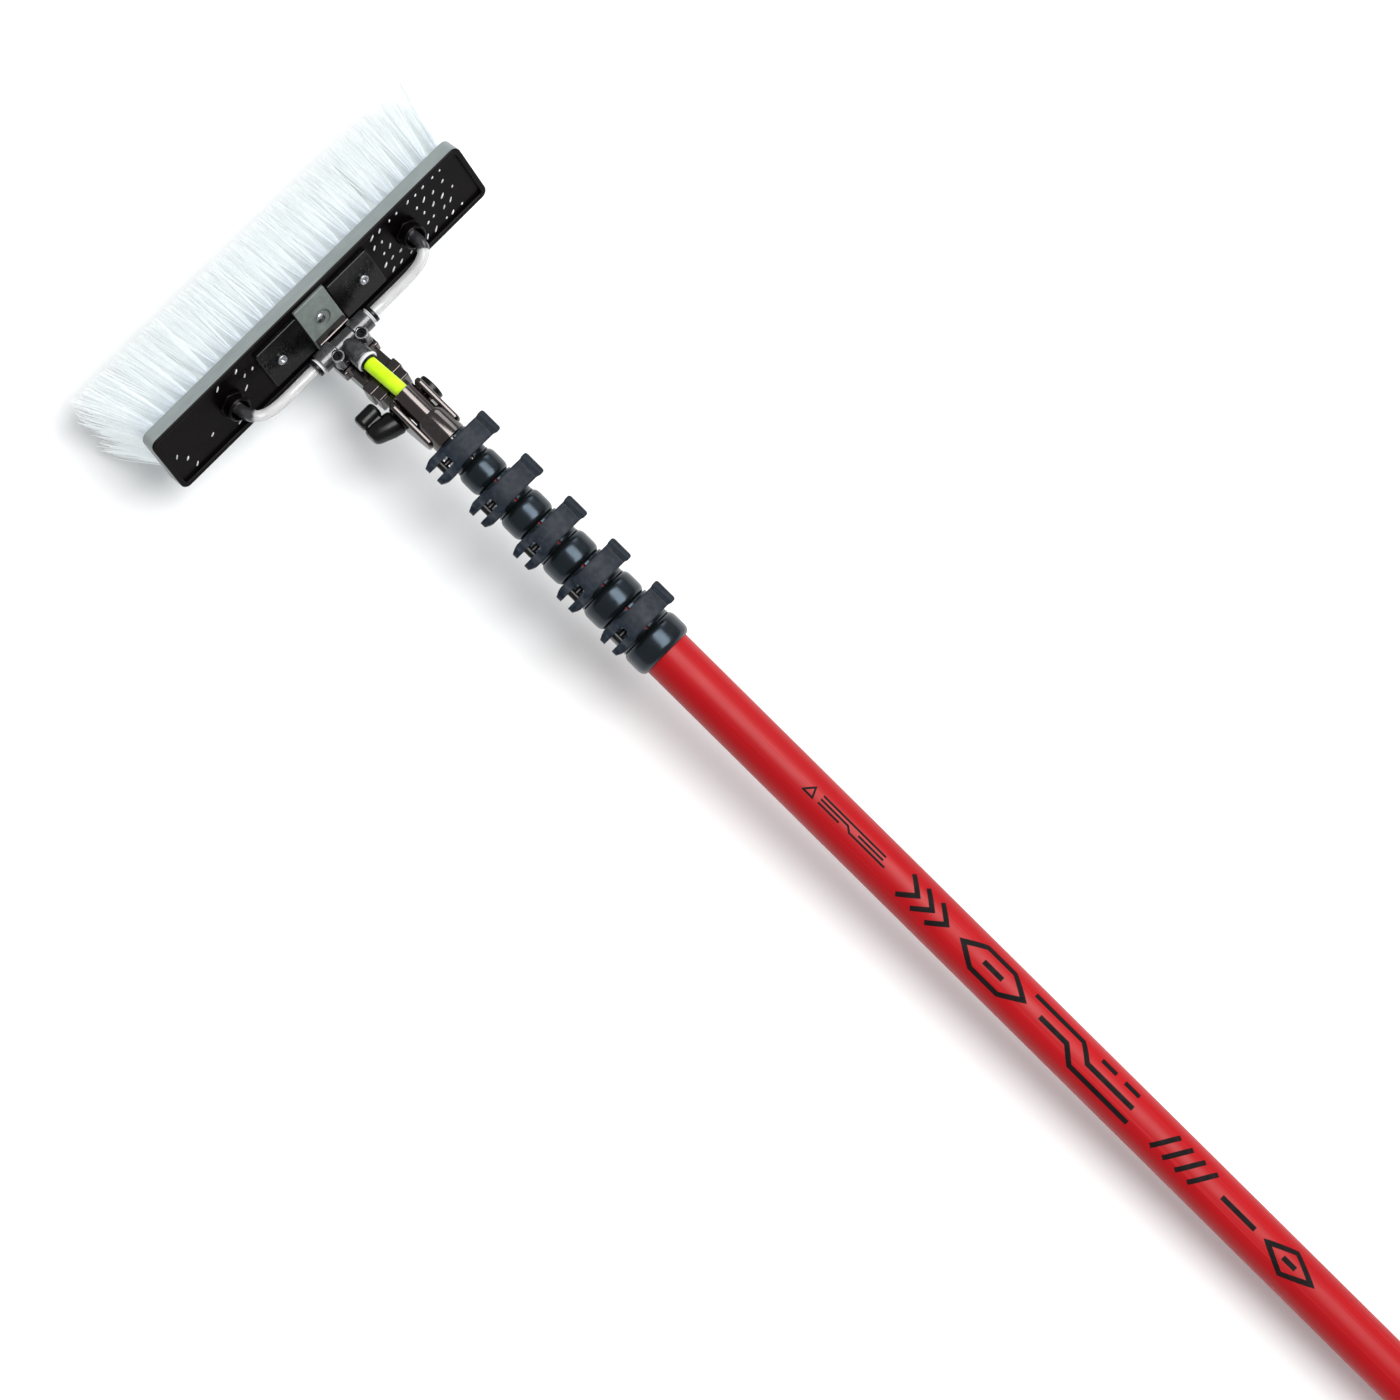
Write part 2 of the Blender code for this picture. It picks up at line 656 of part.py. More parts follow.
def in_pivot_frame(across, out):
    """A brush-frame point (x, z) as (x, z) of the pivot frame."""
    turn = ARM_ANGLE + BRUSH_ANGLE
    return (STOCK_BACK_X + across * math.cos(turn) - out * math.sin(turn),
            STOCK_BACK_Z + across * math.sin(turn) + out * math.cos(turn))


def arm_outline():
    """Side view of the arm: straight shank, then a hollow for the tee and a foot on the brush."""
    hollow_radius = 0.0092
    foot_bottom = 0.0014
    outline = [(ARM_START, -ARM_HALF_DEPTH), (ARM_START, ARM_HALF_DEPTH)]
    outline += arc(TEE_X, TEE_Z, hollow_radius, -90, 4, 9)
    outline += [in_pivot_frame(-0.0105, 0.0075), in_pivot_frame(-0.0105, foot_bottom),
                in_pivot_frame(-0.0335, foot_bottom)]
    return outline


def add_neck_arm(pivot):
    """Arm with a tongue between the cheeks, a shoulder band, and a foot on the saddle."""
    arm = extruded("neck_arm", arm_outline(), -ARM_HALF_WIDTH, ARM_HALF_WIDTH)
    bevel(arm, 0.0020, 2)
    band_half = 0.0155
    band = block("band", (ARM_START + 0.007, -band_half, -0.0092), (ARM_START + 0.016, band_half, 0.0092))
    shoulder = block("shoulder", (ARM_START - 0.001, -0.0142, -0.0084), (ARM_START + 0.008, 0.0142, 0.0084))
    root_x = ARM_START + 0.004
    eye = arc(0.0, 0.0, TONGUE_RADIUS, 90, 270, 14) + [(root_x, -TONGUE_RADIUS), (root_x, TONGUE_RADIUS)]
    tongue = extruded("tongue", eye, -TONGUE_HALF_WIDTH, TONGUE_HALF_WIDTH)
    wing_x = TEE_X + TEE_SCREW_X
    wings = block("wings", (wing_x - 0.0075, -0.0168, -0.0030),
                  (wing_x + 0.0065, 0.0168, ARM_HALF_DEPTH - 0.0004))
    join(arm, bevel(band, 0.0012), bevel(shoulder, 0.0010), bevel(wings, 0.0014), tongue)
    cut(arm, rod("bolt_hole", -TONGUE_HALF_WIDTH - PAST, TONGUE_HALF_WIDTH + PAST, BOLT_RADIUS + GAP, "Y"))
    for side in (1, -1):
        seat = (TEE_X + TEE_SCREW_X, side * TEE_SCREW_Y, 0.0)
        cut(arm, rod("tee_screw_hole", -0.004, ARM_HALF_DEPTH + PAST, TEE_SCREW_HOLE, "Z", seat, 12))
    return finish(arm, dark_lacquer(), pivot)


# Water line

def add_tee(pivot):
    """Push-in tee: run across the arm, stem along it, and two screw bosses between them."""
    edge = 0.0007
    waist = RUN_WAIST_HALF
    run = [(-RUN_HALF, 0.0), (-RUN_HALF, RUN_RADIUS - edge), (-RUN_HALF + edge, RUN_RADIUS),
           (-waist - edge, RUN_RADIUS), (-waist, RUN_RADIUS - edge), (-waist, RUN_WAIST_RADIUS),
           (waist, RUN_WAIST_RADIUS), (waist, RUN_RADIUS - edge), (waist + edge, RUN_RADIUS),
           (RUN_HALF - edge, RUN_RADIUS), (RUN_HALF, RUN_RADIUS - edge), (RUN_HALF, 0.0)]
    tee = turned("tee_body", run, "Y", facets=24)
    stem = [(-STEM_LENGTH, 0.0), (-STEM_LENGTH, STEM_RADIUS - edge), (-STEM_LENGTH + edge, STEM_RADIUS),
            (-0.0085, STEM_RADIUS - 0.0003), (-0.0020, 0.0052), (-0.0020, 0.0)]
    bottom = -STEM_RADIUS
    web = block("web", (TEE_SCREW_X - 0.0046, -TEE_SCREW_Y - 0.0035, bottom),
                (0.0, TEE_SCREW_Y + 0.0035, bottom + 0.0050))
    join(tee, turned("stem", stem, facets=24), web)
    for side in (1, -1):
        centre = (TEE_SCREW_X, side * TEE_SCREW_Y, 0.0)
        join(tee, rod("boss", bottom, TEE_BOSS_TOP, TEE_BOSS_RADIUS, "Z", centre))
    for side in (1, -1):
        centre = (TEE_SCREW_X, side * TEE_SCREW_Y, 0.0)
        cut(tee, rod("head_seat", TEE_SCREW_SEAT, TEE_BOSS_TOP + PAST, 0.0040, "Z", centre),
            rod("shank_hole", bottom - PAST, TEE_BOSS_TOP, TEE_SCREW_HOLE, "Z", centre, 12))
        low, high = sorted((side * 0.0159, side * (RUN_HALF + PAST)))
        cut(tee, rod("collet_bore", low, high, 0.0059, "Y"))
    cut(tee, rod("stem_bore", -STEM_LENGTH - PAST, -STEM_LENGTH + 0.0125, 0.0069))
    cut(tee, rod("channel", -0.017, 0.017, CHANNEL_RADIUS, "Y", facets=12))
    cut(tee, rod("stem_channel", -STEM_LENGTH, 0.0, CHANNEL_RADIUS, facets=12))
    return finish(tee, material("tee_plastic", 46, 46, 48, 0.42), pivot, (TEE_X, 0.0, TEE_Z))


def collet_profile(inner, outer, flange, length, flange_length):
    """Release ring: sleeve in the bore and a flange that the fingers press."""
    edge = 0.0004
    back = length - flange_length
    return [(0.0, inner), (0.0, outer), (back, outer), (back, flange - edge), (back + edge, flange),
            (length - edge, flange), (length, flange - edge), (length, inner)]


def add_collets(pivot):
    """The three release rings of the tee, each with room to be pressed in."""
    white = material("collet_white", 214, 216, 218, 0.35)
    inner = FEED_RADIUS + GAP
    length = 0.0124
    flange = 0.0020
    stand_off = COLLET_TRAVEL + GAP
    stem = turned("stem_collet", collet_profile(inner, 0.0066, 0.0083, length, flange), facets=24)
    flange_face = -STEM_LENGTH - stand_off
    place = (TEE_X + flange_face + (length - flange), 0.0, TEE_Z)
    finish(stem, white, pivot, place, (0.0, 0.0, math.pi))
    length = 0.0098
    for name, side in (("left_collet", 1), ("right_collet", -1)):
        collet = turned(name, collet_profile(RINSE_RADIUS + GAP, 0.0056, 0.0066, length, flange), facets=24)
        start = RUN_HALF + stand_off - (length - flange)
        finish(collet, black_plastic(), pivot, (TEE_X, side * start, TEE_Z),
               (0.0, 0.0, side * math.pi / 2))


def add_tee_screws(pivot):
    """Two socket-head screws through the tee's bosses into the arm."""
    head_radius = 0.0037
    head_height = 0.0035
    shank_radius = 0.0019
    shank_length = 0.0170
    seat = TEE_Z + TEE_SCREW_SEAT + GAP
    for name, side in (("left_tee_screw", 1), ("right_tee_screw", -1)):
        screw = socket_screw(name, head_radius, head_height, shank_radius, shank_length, "Z")
        place = (TEE_X + TEE_SCREW_X, side * TEE_SCREW_Y, seat)
        finish(screw, bright_steel(), pivot, place, (math.pi, 0.0, 0.0))


def add_feed_hose(pole):
    """Feed hose from inside the top section's mouth to the tee's stem."""
    turn = Matrix.Rotation(ARM_ANGLE, 3, "Y")
    pivot = Vector((PIVOT_X, 0.0, PIVOT_Z))
    end = pivot + turn @ Vector((TEE_X - STEM_LENGTH + 0.0118, 0.0, TEE_Z))
    sleeve_mouth = pivot + turn @ Vector((TEE_X - STEM_LENGTH - 0.0045, 0.0, TEE_Z))
    along = turn @ Vector((1.0, 0.0, 0.0))
    start = Vector((TOP_MOUTH_X - 0.030, 0.0, 0.0))
    mouth = Vector((TOP_MOUTH_X - 0.008, 0.0, -0.0004))
    path = [start]
    path += bezier(mouth, mouth + Vector((0.014, 0.0, 0.0)), sleeve_mouth - along * 0.012, sleeve_mouth, 10)
    path += [end]
    obj = hose("feed_hose", path, FEED_RADIUS, FEED_BORE)
    return finish(obj, material("hose_yellow_green", 196, 240, 20, 0.45), pole)


def add_rinse_tubes(pivot):
    """Clear tubes from the ends of the tee's run to the two jet fittings."""
    turn = Matrix.Rotation(-ARM_ANGLE - BRUSH_ANGLE, 3, "Y")
    back = Vector((STOCK_BACK_X, 0.0, STOCK_BACK_Z))
    out = turn @ Vector((0.0, 0.0, 1.0))
    for name, side in (("left_rinse_tube", 1), ("right_rinse_tube", -1)):
        across = Vector((0.0, side, 0.0))
        jet = back + across * JET_Y
        top = jet + out * 0.0060
        port = Vector((TEE_X, side * 0.0290, TEE_Z))
        path = [jet + out * -0.0030]
        path += bezier(top, top + out * 0.030, port + across * 0.040, port, 12)
        path += [port - across * 0.0115]
        obj = hose(name, path, RINSE_RADIUS, RINSE_BORE, 10)
        finish(obj, material("clear_tube", 226, 228, 230, 0.2), pivot)


def add_jets(brush):
    """Hex fittings through the stock, with a nozzle under each."""
    for name, side in (("left", 1), ("right", -1)):
        place = (0.0, side * JET_Y, 0.0)
        seat = TRAY_FLOOR + GAP
        collar = 0.00925
        top = 0.0092
        edge = 0.0010
        profile = [(STOCK_BOTTOM, 0.0033), (STOCK_BOTTOM, JET_STEM_RADIUS), (seat, JET_STEM_RADIUS),
                   (seat, collar), (top - edge, collar), (top, collar - edge), (top, 0.0078),
                   (top - 0.0008, 0.0070), (0.0034, 0.0070), (0.0034, RINSE_RADIUS + GAP),
                   (-0.0036, RINSE_RADIUS + GAP), (-0.0036, 0.0033)]
        fitting = turned(f"{name}_jet_fitting", profile, "Z", facets=24)
        flange = bevel(rod("flange", seat, 0.0016, 0.0110, "Z", facets=6), 0.0005)
        cut(flange, rod("flange_bore", seat - PAST, seat + 2.0 * PAST, JET_STEM_RADIUS, "Z", facets=24))
        join(fitting, flange)
        finish(fitting, material("jet_plastic", 34, 32, 34, 0.36), brush, place)
        start = STOCK_BOTTOM - GAP
        nozzle = turned(f"{name}_jet_nozzle", [
            (start - 0.0060, 0.0011), (start - 0.0060, 0.0036), (start - 0.0018, 0.0058),
            (start - 0.0018, 0.0096), (start, 0.0096), (start, 0.0030), (-0.0075, 0.0030),
            (-0.0075, 0.0011)], "Z", facets=ROUND_SMALL)
        finish(nozzle, black_plastic(), brush, place)


# Brush

def stock_holes():
    """Places of the holes through the stock, as (x, y, radius)."""
    holes = [(0.0, 0.0, RIVET_HOLE)]
    for side in (1, -1):
        holes += [(0.0, side * JET_Y, JET_STEM_RADIUS + GAP), (0.0, side * PAD_SCREW_Y, PAD_SCREW_HOLE)]
    return holes


def drill_stock(obj, low, high):
    """Cut the stock's holes through obj."""
    for x, y, radius in stock_holes():
        cut(obj, rod("hole", low, high, radius, "Z", (x, y, 0.0), 24 if radius > 0.005 else 12))
    return obj


def add_stock(brush):
    """Grey block that holds the tufts, open on top for the tray."""
    half_x = STOCK_WIDTH / 2.0
    half_y = STOCK_LENGTH / 2.0
    wall = 0.0019
    outer = slab_outline(half_x, half_y, STOCK_CORNER)
    pocket = slab_outline(half_x - wall, half_y - wall, STOCK_CORNER - wall)
    foot = slab_outline(half_x - 0.001, half_y - 0.001, STOCK_CORNER - 0.001)
    rim = -RIM_THICKNESS - GAP
    floor = TRAY_BOTTOM - GAP
    stock = lofted("brush_stock", [(pocket, floor), (pocket, rim), (outer, rim),
                                   (outer, STOCK_BOTTOM + 0.001), (foot, STOCK_BOTTOM)])
    drill_stock(stock, STOCK_BOTTOM - PAST, floor + PAST)
    return finish(stock, grey_plastic(), brush)


def add_tray(brush):
    """Black tray with a rim over the stock's wall and a sunk floor."""
    half_x = STOCK_WIDTH / 2.0
    half_y = STOCK_LENGTH / 2.0
    rim_width = 0.0040
    lip = 0.0005
    wall = 0.0019 + GAP
    well = slab_outline(half_x - rim_width, half_y - rim_width, 0.0030)
    well_edge = slab_outline(half_x - rim_width + lip, half_y - rim_width + lip, 0.0035)
    top_edge = slab_outline(half_x - lip, half_y - lip, STOCK_CORNER - lip)
    flange = slab_outline(half_x, half_y, STOCK_CORNER)
    tub = slab_outline(half_x - wall, half_y - wall, STOCK_CORNER - wall)
    tray = lofted("stock_tray", [(well, TRAY_FLOOR), (well, -lip), (well_edge, 0.0), (top_edge, 0.0),
                                 (flange, -lip), (flange, -RIM_THICKNESS), (tub, -RIM_THICKNESS),
                                 (tub, TRAY_BOTTOM)])
    drill_stock(tray, TRAY_BOTTOM - PAST, TRAY_FLOOR + PAST)
    return finish(tray, material("tray_plastic", 34, 25, 27, 0.25), brush)


def add_pads(brush):
    """Raised pads beside the saddle, each with a screw."""
    seat = TRAY_FLOOR + GAP
    top = PAD_TOP
    half = (PAD_OUTER_Y - PAD_INNER_Y) / 2.0
    middle = (PAD_OUTER_Y + PAD_INNER_Y) / 2.0
    edge = 0.0006
    head_radius = 0.00375
    head_height = 0.0022
    shank_radius = 0.0018
    shank_length = 0.0120
    for name, side in (("left", 1), ("right", -1)):
        outline = slab_outline(PAD_HALF_WIDTH, half, 0.0015, 3)
        worn = slab_outline(PAD_HALF_WIDTH - edge, half - edge, 0.0012, 3)
        pad = lofted(f"{name}_mount_pad", [(outline, seat), (outline, top - edge), (worn, top)])
        screw_y = side * (PAD_SCREW_Y - middle)
        cut(pad, rod("hole", seat - PAST, top + PAST, PAD_SCREW_HOLE, "Z", (0.0, screw_y, 0.0), 12))
        finish(pad, black_plastic(), brush, (0.0, side * middle, 0.0))
        screw = socket_screw(f"{name}_pad_screw", head_radius, head_height, shank_radius, shank_length, "Z")
        finish(screw, bright_steel(), brush, (0.0, side * PAD_SCREW_Y, top + GAP), (math.pi, 0.0, 0.0))


def add_saddle(brush):
    """Grey block between the pads that the arm's foot stands on, with a rivet in its recess."""
    seat = TRAY_FLOOR + GAP
    top = SADDLE_TOP
    edge = 0.0005
    recess_floor = SADDLE_RECESS_FLOOR
    outline = slab_outline(SADDLE_HALF_WIDTH, SADDLE_HALF_LENGTH, 0.0012, 3)
    worn = slab_outline(SADDLE_HALF_WIDTH - edge, SADDLE_HALF_LENGTH - edge, 0.0010, 3)
    saddle = lofted("saddle_block", [(outline, seat), (outline, top - edge), (worn, top)])
    cut(saddle, rod("recess", recess_floor, top + PAST, SADDLE_RECESS_RADIUS, "Z", facets=24))
    cut(saddle, rod("rivet_hole", seat - PAST, top, RIVET_HOLE, "Z", facets=12))
    finish(saddle, material("saddle_grey", 116, 126, 122, 0.45), brush)
    head = RIVET_HEAD_RADIUS
    seat = recess_floor + GAP
    rivet = turned("saddle_rivet", [(STOCK_BOTTOM + 0.002, 0.0), (STOCK_BOTTOM + 0.002, RIVET_RADIUS),
                                    (seat, RIVET_RADIUS), (seat, head), (seat + 0.0007, head - 0.0002),
                                    (seat + 0.0014, head - 0.0012), (seat + 0.0018, 0.0)],
                   "Z", facets=24)
    finish(rivet, bright_steel(), brush)


def add_bristles(brush):
    """Bristle pack as one soft solid that spreads towards its tips, hollowed round the nozzles."""
    start = STOCK_BOTTOM - GAP
    end = start - BRISTLE_LENGTH
    half_x = STOCK_WIDTH / 2.0 - 0.0045
    half_y = STOCK_LENGTH / 2.0 - 0.0045
    roots = slab_outline(half_x, half_y, 0.005, 3)
    tips = slab_outline(half_x + TUFT_SPREAD_SIDES, half_y + TUFT_SPREAD_ENDS, 0.008, 3)
    pack = lofted("bristle_pack", [(roots, start), (tips, end)])
    for side in (1, -1):
        cut(pack, rod("nozzle_room", start - NOZZLE_ROOM_DEPTH, start + PAST, NOZZLE_ROOM_RADIUS, "Z",
                      (0.0, side * JET_Y, 0.0)))
    return finish(pack, material("bristle_white", 232, 236, 244, 0.6), brush)


# Assembly

def lowest_point(objects, towards_brush):
    """Lowest world point of the given half of the object."""
    depsgraph = bpy.context.evaluated_depsgraph_get()
    lowest = None
    for obj in objects:
        mesh = obj.evaluated_get(depsgraph).data
        for vert in mesh.vertices:
            point = obj.matrix_world @ vert.co
            if (point.x > 0.0) == towards_brush and (lowest is None or point.z < lowest.z):
                lowest = point
    return lowest


def lay_on_floor(pole, objects):
    """Tip the pole so that its butt and its bristle tips touch the floor, and centre it."""
    for _ in range(4):
        bpy.context.view_layer.update()
        butt = lowest_point(objects, False)
        tips = lowest_point(objects, True)
        pole.rotation_euler.y += math.atan2(tips.z - butt.z, tips.x - butt.x)
    bpy.context.view_layer.update()
    depsgraph = bpy.context.evaluated_depsgraph_get()
    corners = [obj.matrix_world @ vert.co for obj in objects
               for vert in obj.evaluated_get(depsgraph).data.vertices]
    low = Vector([min(corner[axis] for corner in corners) for axis in range(3)])
    high = Vector([max(corner[axis] for corner in corners) for axis in range(3)])
    pole.location -= Vector(((low.x + high.x) / 2.0, (low.y + high.y) / 2.0, low.z))
    bpy.context.view_layer.update()


def build():
    """Build the whole pole system."""
    clear_scene()
    pole = empty("pole_frame")
    pivot = empty("pivot_frame", pole, (PIVOT_X, 0.0, PIVOT_Z), (0.0, ARM_ANGLE, 0.0))
    brush = empty("brush_frame", pivot, (STOCK_BACK_X, 0.0, STOCK_BACK_Z),
                  (0.0, -ARM_ANGLE - BRUSH_ANGLE, 0.0))
    for index in range(1, SECTIONS + 1):
        add_section(index, pole)
    add_end_cap(pole)
    for index in range(1, SECTIONS):
        add_collar(index, pole)
        add_lever(index, pole)
        add_barrel_pin(index, pole)
        add_tension_screw(index, pole)
    add_neck_socket(pole)
    add_pivot_bolt(pole)
    add_pivot_knob(pole)
    add_neck_arm(pivot)
    add_tee(pivot)
    add_collets(pivot)
    add_tee_screws(pivot)
    add_feed_hose(pole)
    add_rinse_tubes(pivot)
    add_jets(brush)
    add_stock(brush)
    add_tray(brush)
    add_pads(brush)
    add_saddle(brush)
    add_bristles(brush)
    solids = [obj for obj in bpy.data.objects if obj.type == "MESH"]
    lay_on_floor(pole, solids)


build()
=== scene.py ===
"""Looks of the window cleaning pole system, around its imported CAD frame. Metres, +Z up.

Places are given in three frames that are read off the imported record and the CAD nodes:
  POLE   X along the pole towards the brush, from the base tube's collar, Z away from the floor
  PIVOT  on the neck's pivot, X along the neck arm
  BRUSH  on the middle of the stock's back, Z out of the back, X across the stock
"""

import json
import math
import random

import bmesh
import bpy
from mathutils import Matrix, Vector


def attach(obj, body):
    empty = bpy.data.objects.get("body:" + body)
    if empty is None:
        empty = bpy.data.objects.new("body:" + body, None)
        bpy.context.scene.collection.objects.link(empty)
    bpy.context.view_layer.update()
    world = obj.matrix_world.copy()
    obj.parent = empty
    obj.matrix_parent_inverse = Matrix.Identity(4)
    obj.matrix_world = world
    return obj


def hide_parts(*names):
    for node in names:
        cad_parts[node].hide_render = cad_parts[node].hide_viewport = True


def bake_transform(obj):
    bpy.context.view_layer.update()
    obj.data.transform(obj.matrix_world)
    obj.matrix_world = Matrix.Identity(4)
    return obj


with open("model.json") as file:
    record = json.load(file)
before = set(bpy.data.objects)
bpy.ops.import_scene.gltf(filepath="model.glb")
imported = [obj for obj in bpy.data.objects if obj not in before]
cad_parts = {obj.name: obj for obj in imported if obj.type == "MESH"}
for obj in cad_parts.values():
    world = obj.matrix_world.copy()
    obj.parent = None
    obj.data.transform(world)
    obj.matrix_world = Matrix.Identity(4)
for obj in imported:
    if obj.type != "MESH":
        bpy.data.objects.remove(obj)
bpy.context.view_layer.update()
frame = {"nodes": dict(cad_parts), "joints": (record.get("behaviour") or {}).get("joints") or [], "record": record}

NODES = frame["nodes"]
RECORD = frame["record"]
JOINTS = {joint["name"]: joint for joint in frame["joints"]}
MOUNTS = {mount["name"]: mount for mount in RECORD["mounts"]}
SLOTS = {part["node"]: part["material_slot"] for part in RECORD["subparts"]}
BODIES = {node: body for body, nodes in RECORD["behaviour"]["bodies"].items() for node in nodes}
ALONG = Vector((1.0, 0.0, 0.0))
SIDE = Vector((0.0, 1.0, 0.0))

ROUND = 96                   # facets round a tube or a collar
ROUND_SMALL = 48             # facets round a screw or a hose
MERGE = 1e-7                 # points closer than this become one
BEVEL_ANGLE = math.radians(40.0)
SHARP_ANGLE = math.radians(42.0)
SHARP_DETAIL = math.radians(80.0)    # for filaments and staples, which shade smoothly
EDGE_ROUND = 0.00022         # rounding of the small parts that keep the CAD shape
GAP = 0.0003                 # clearance between neighbouring pieces
PAST = 0.004                 # how far a cutter stands out of what it cuts
SINK = 0.0003                # how far a piece of detail reaches into what it stands on

# Clamps
SECTIONS = 6
CUP_LENGTH = 0.0200
CUP_WALL = 0.0045
CUP_CROWN = 0.0024
COLLAR_LENGTH = 0.0419
RING_WALL = 0.0040
RING_CLEARANCE = 0.00035
TUBE_IN_COLLAR = 0.0160
SLIT_WIDTH = 0.0024
SLIT_OFFSET = 0.0008         # from the cup to the start of the slit
EAR_LOW = Vector((0.0226, -0.0090, 0.0))
EAR_HIGH = Vector((0.0390, 0.0132, 0.0038))      # Z counts from the screw's axis
SCREW_ABOVE_TUBE = 0.0065
SCREW_RADIUS = 0.0020
SCREW_PLAY = 0.0004
LEVER_MIDDLE_X = 0.0310
LEVER_WIDTH = 0.0184
LEVER_FORK_FLARE = 1.10
LEVER_WAIST = 0.92
LEVER_SLOT = 0.0070
LEVER_SLOT_END = -0.0064
CAM_SMALL_RADIUS = 0.0060
CAM_NOSE_RADIUS = 0.0098
PIN_HOLE_RADIUS = 0.0033
PLATE_OUTER = 0.0096
PLATE_INNER = 0.0064
PLATE_CROWN_Y = -0.0216
PLATE_CURVE_RADIUS = 0.052
LIP_Y = -0.0476
LIP_CORNER = 0.0024
PANEL_START_Y = -0.0025
PANEL_END_Y = -0.0386
PANEL_HEIGHT = 0.00035
PANEL_SINK = 0.001
PANEL_MARGIN = 0.0009
GROOVE_END_Y = -0.0402
GROOVE_DEPTH = 0.0011
LIP_SLOPE = 0.50             # how much steeper than the plate the finger lip falls away

# Neck and tee
SOCKET_START_X = 0.210
SOCKET_END_X = 0.233
SOCKET_RADIUS = 0.0130
CHEEK_INNER_Y = 0.0104
CHEEK_OUTER_Y = 0.0150
CHEEK_START_X = 0.2145
CHEEK_END_X = 0.2565
CHEEK_TOP_Z = 0.0055
CHEEK_EYE_RADIUS = 0.0092
BOLT_RADIUS = 0.0030
BOLT_CAP_RADIUS = 0.0100
BOLT_CAP_HEIGHT = 0.0050
BOLT_END_Y = 0.0265
ARM_HALF_WIDTH = 0.0135
ARM_HALF_DEPTH = 0.0075
ARM_START = 0.017
ARM_FOOT = ((-0.0105, 0.0075), (-0.0105, 0.0014), (-0.0335, 0.0014))     # X and Z in BRUSH
ARM_SADDLE_RADIUS = 0.0092   # of the hollow under the tee
TONGUE_RADIUS = 0.0063
TONGUE_HALF_WIDTH = 0.0100
KNOB_START_Y = 0.0154
KNOB_END_Y = 0.0370
KNOB_HUB_RADII = ((0.0, 0.0088), (0.04, 0.0095), (0.10, 0.0097), (0.40, 0.0094), (0.65, 0.0088),
                  (0.82, 0.0080), (0.92, 0.0070), (0.98, 0.0056), (1.0, 0.0044))     # share, radius
KNOB_LEAN = 0.0040
KNOB_LOBE_X = 0.0160
KNOB_LOBE_RADIUS = 0.0062
KNOB_LOBE_START_Y = 0.0190
KNOB_LOBE_END_Y = 0.0364
KNOB_WEB_HALF = 0.0044
KNOB_TILT = math.radians(-6.0)
RUN_RADIUS = 0.00785
RUN_WAIST_RADIUS = 0.0062
RUN_WAIST_HALF = 0.0085
RUN_HALF = 0.0235
RUN_SOCKET_Y = 0.0159        # where the hole for a rinse tube ends
RUN_SOCKET_RADIUS = 0.0059
STEM_RADIUS = 0.00825
STEM_LENGTH = 0.0217
STEM_SOCKET_DEPTH = 0.0125
STEM_SOCKET_RADIUS = 0.0069
TEE_SCREW_X = -0.0072
TEE_SCREW_Y = 0.0116
TEE_SCREW_HOLE = 0.0022
TEE_SCREW_HEAD_HOLE = 0.0040
TEE_BOSS_RADIUS = 0.0047
TEE_BOSS_TOP = 0.0045
FEED_RADIUS = 0.00535
FEED_BORE = 0.0035
RINSE_RADIUS = 0.0040
RINSE_BORE = 0.0027

# Brush
TUFT_ROWS = 5
TUFTS_PER_ROW = 27
TUFT_RADIUS = 0.0021
TUFT_TIP_RADIUS = 0.0098
FILAMENTS = 66
FILAMENT_RADIUS = 0.00034
FILAMENT_STEPS = 5
END_CURVE = 2.2              # how late along the stock the tufts start to lean out
JET_CLEARANCE = 0.0122       # from a jet's axis to the nearest tuft
ROOT_SHADE_DEPTH = 0.026     # how far down from the stock the painted shade on the filaments reaches
STAPLE_ROWS = 5
STAPLE_PITCH = 0.0084
STAPLE_CLEARANCE = 0.0138    # from a jet's axis to the nearest staple

random.seed(11)


# Frames

def axes(along, origin=(0.0, 0.0, 0.0)):
    """Frame with X along a direction and Y across the pole."""
    x = Vector(along).normalized()
    matrix = Matrix((x, SIDE, x.cross(SIDE))).transposed().to_4x4()
    matrix.translation = Vector(origin)
    return matrix


def extent(node, matrix):
    """Lowest and highest corner of a CAD node in a frame."""
    inverse = matrix.inverted()
    points = [inverse @ vert.co for vert in NODES[node].data.vertices]
    low = Vector([min(point[i] for point in points) for i in range(3)])
    high = Vector([max(point[i] for point in points) for i in range(3)])
    return low, high


def centred(matrix, node, end_node, axis, pick):
    """Move a frame's origin to the middle of a node, and along one axis to the end of another."""
    low, high = extent(node, matrix)
    middle = (low + high) / 2.0
    middle[axis] = pick(*(corner[axis] for corner in extent(end_node, matrix)))
    return matrix @ Matrix.Translation(middle)


POLE = centred(axes(JOINTS["section_2_slide"]["axis"]), "base_tube", "clamp_1_collar", 0, min)
PIVOT = axes(JOINTS["stem_ring_press"]["axis"], JOINTS["neck_tilt"]["pos_m"])
OUT = -Vector(MOUNTS["bristle_tips"]["axis"])
BRUSH = centred(axes(SIDE.cross(OUT)), "brush_stock", "stock_tray", 2, max)
PIVOT_PLACE = POLE.inverted() @ Vector(JOINTS["neck_tilt"]["pos_m"])
STOCK_LOW, STOCK_HIGH = extent("brush_stock", BRUSH)
TIPS_LOW, TIPS_HIGH = extent("bristle_pack", BRUSH)
TEE_LOW = extent("tee_body", PIVOT)[0]
TEE_X = TEE_LOW.x + STEM_LENGTH
TEE_Z = TEE_LOW.z + STEM_RADIUS


# Meshes

def linked(name, data):
    """A new object in the scene."""
    obj = bpy.data.objects.new(name, data)
    bpy.context.scene.collection.objects.link(obj)
    return obj


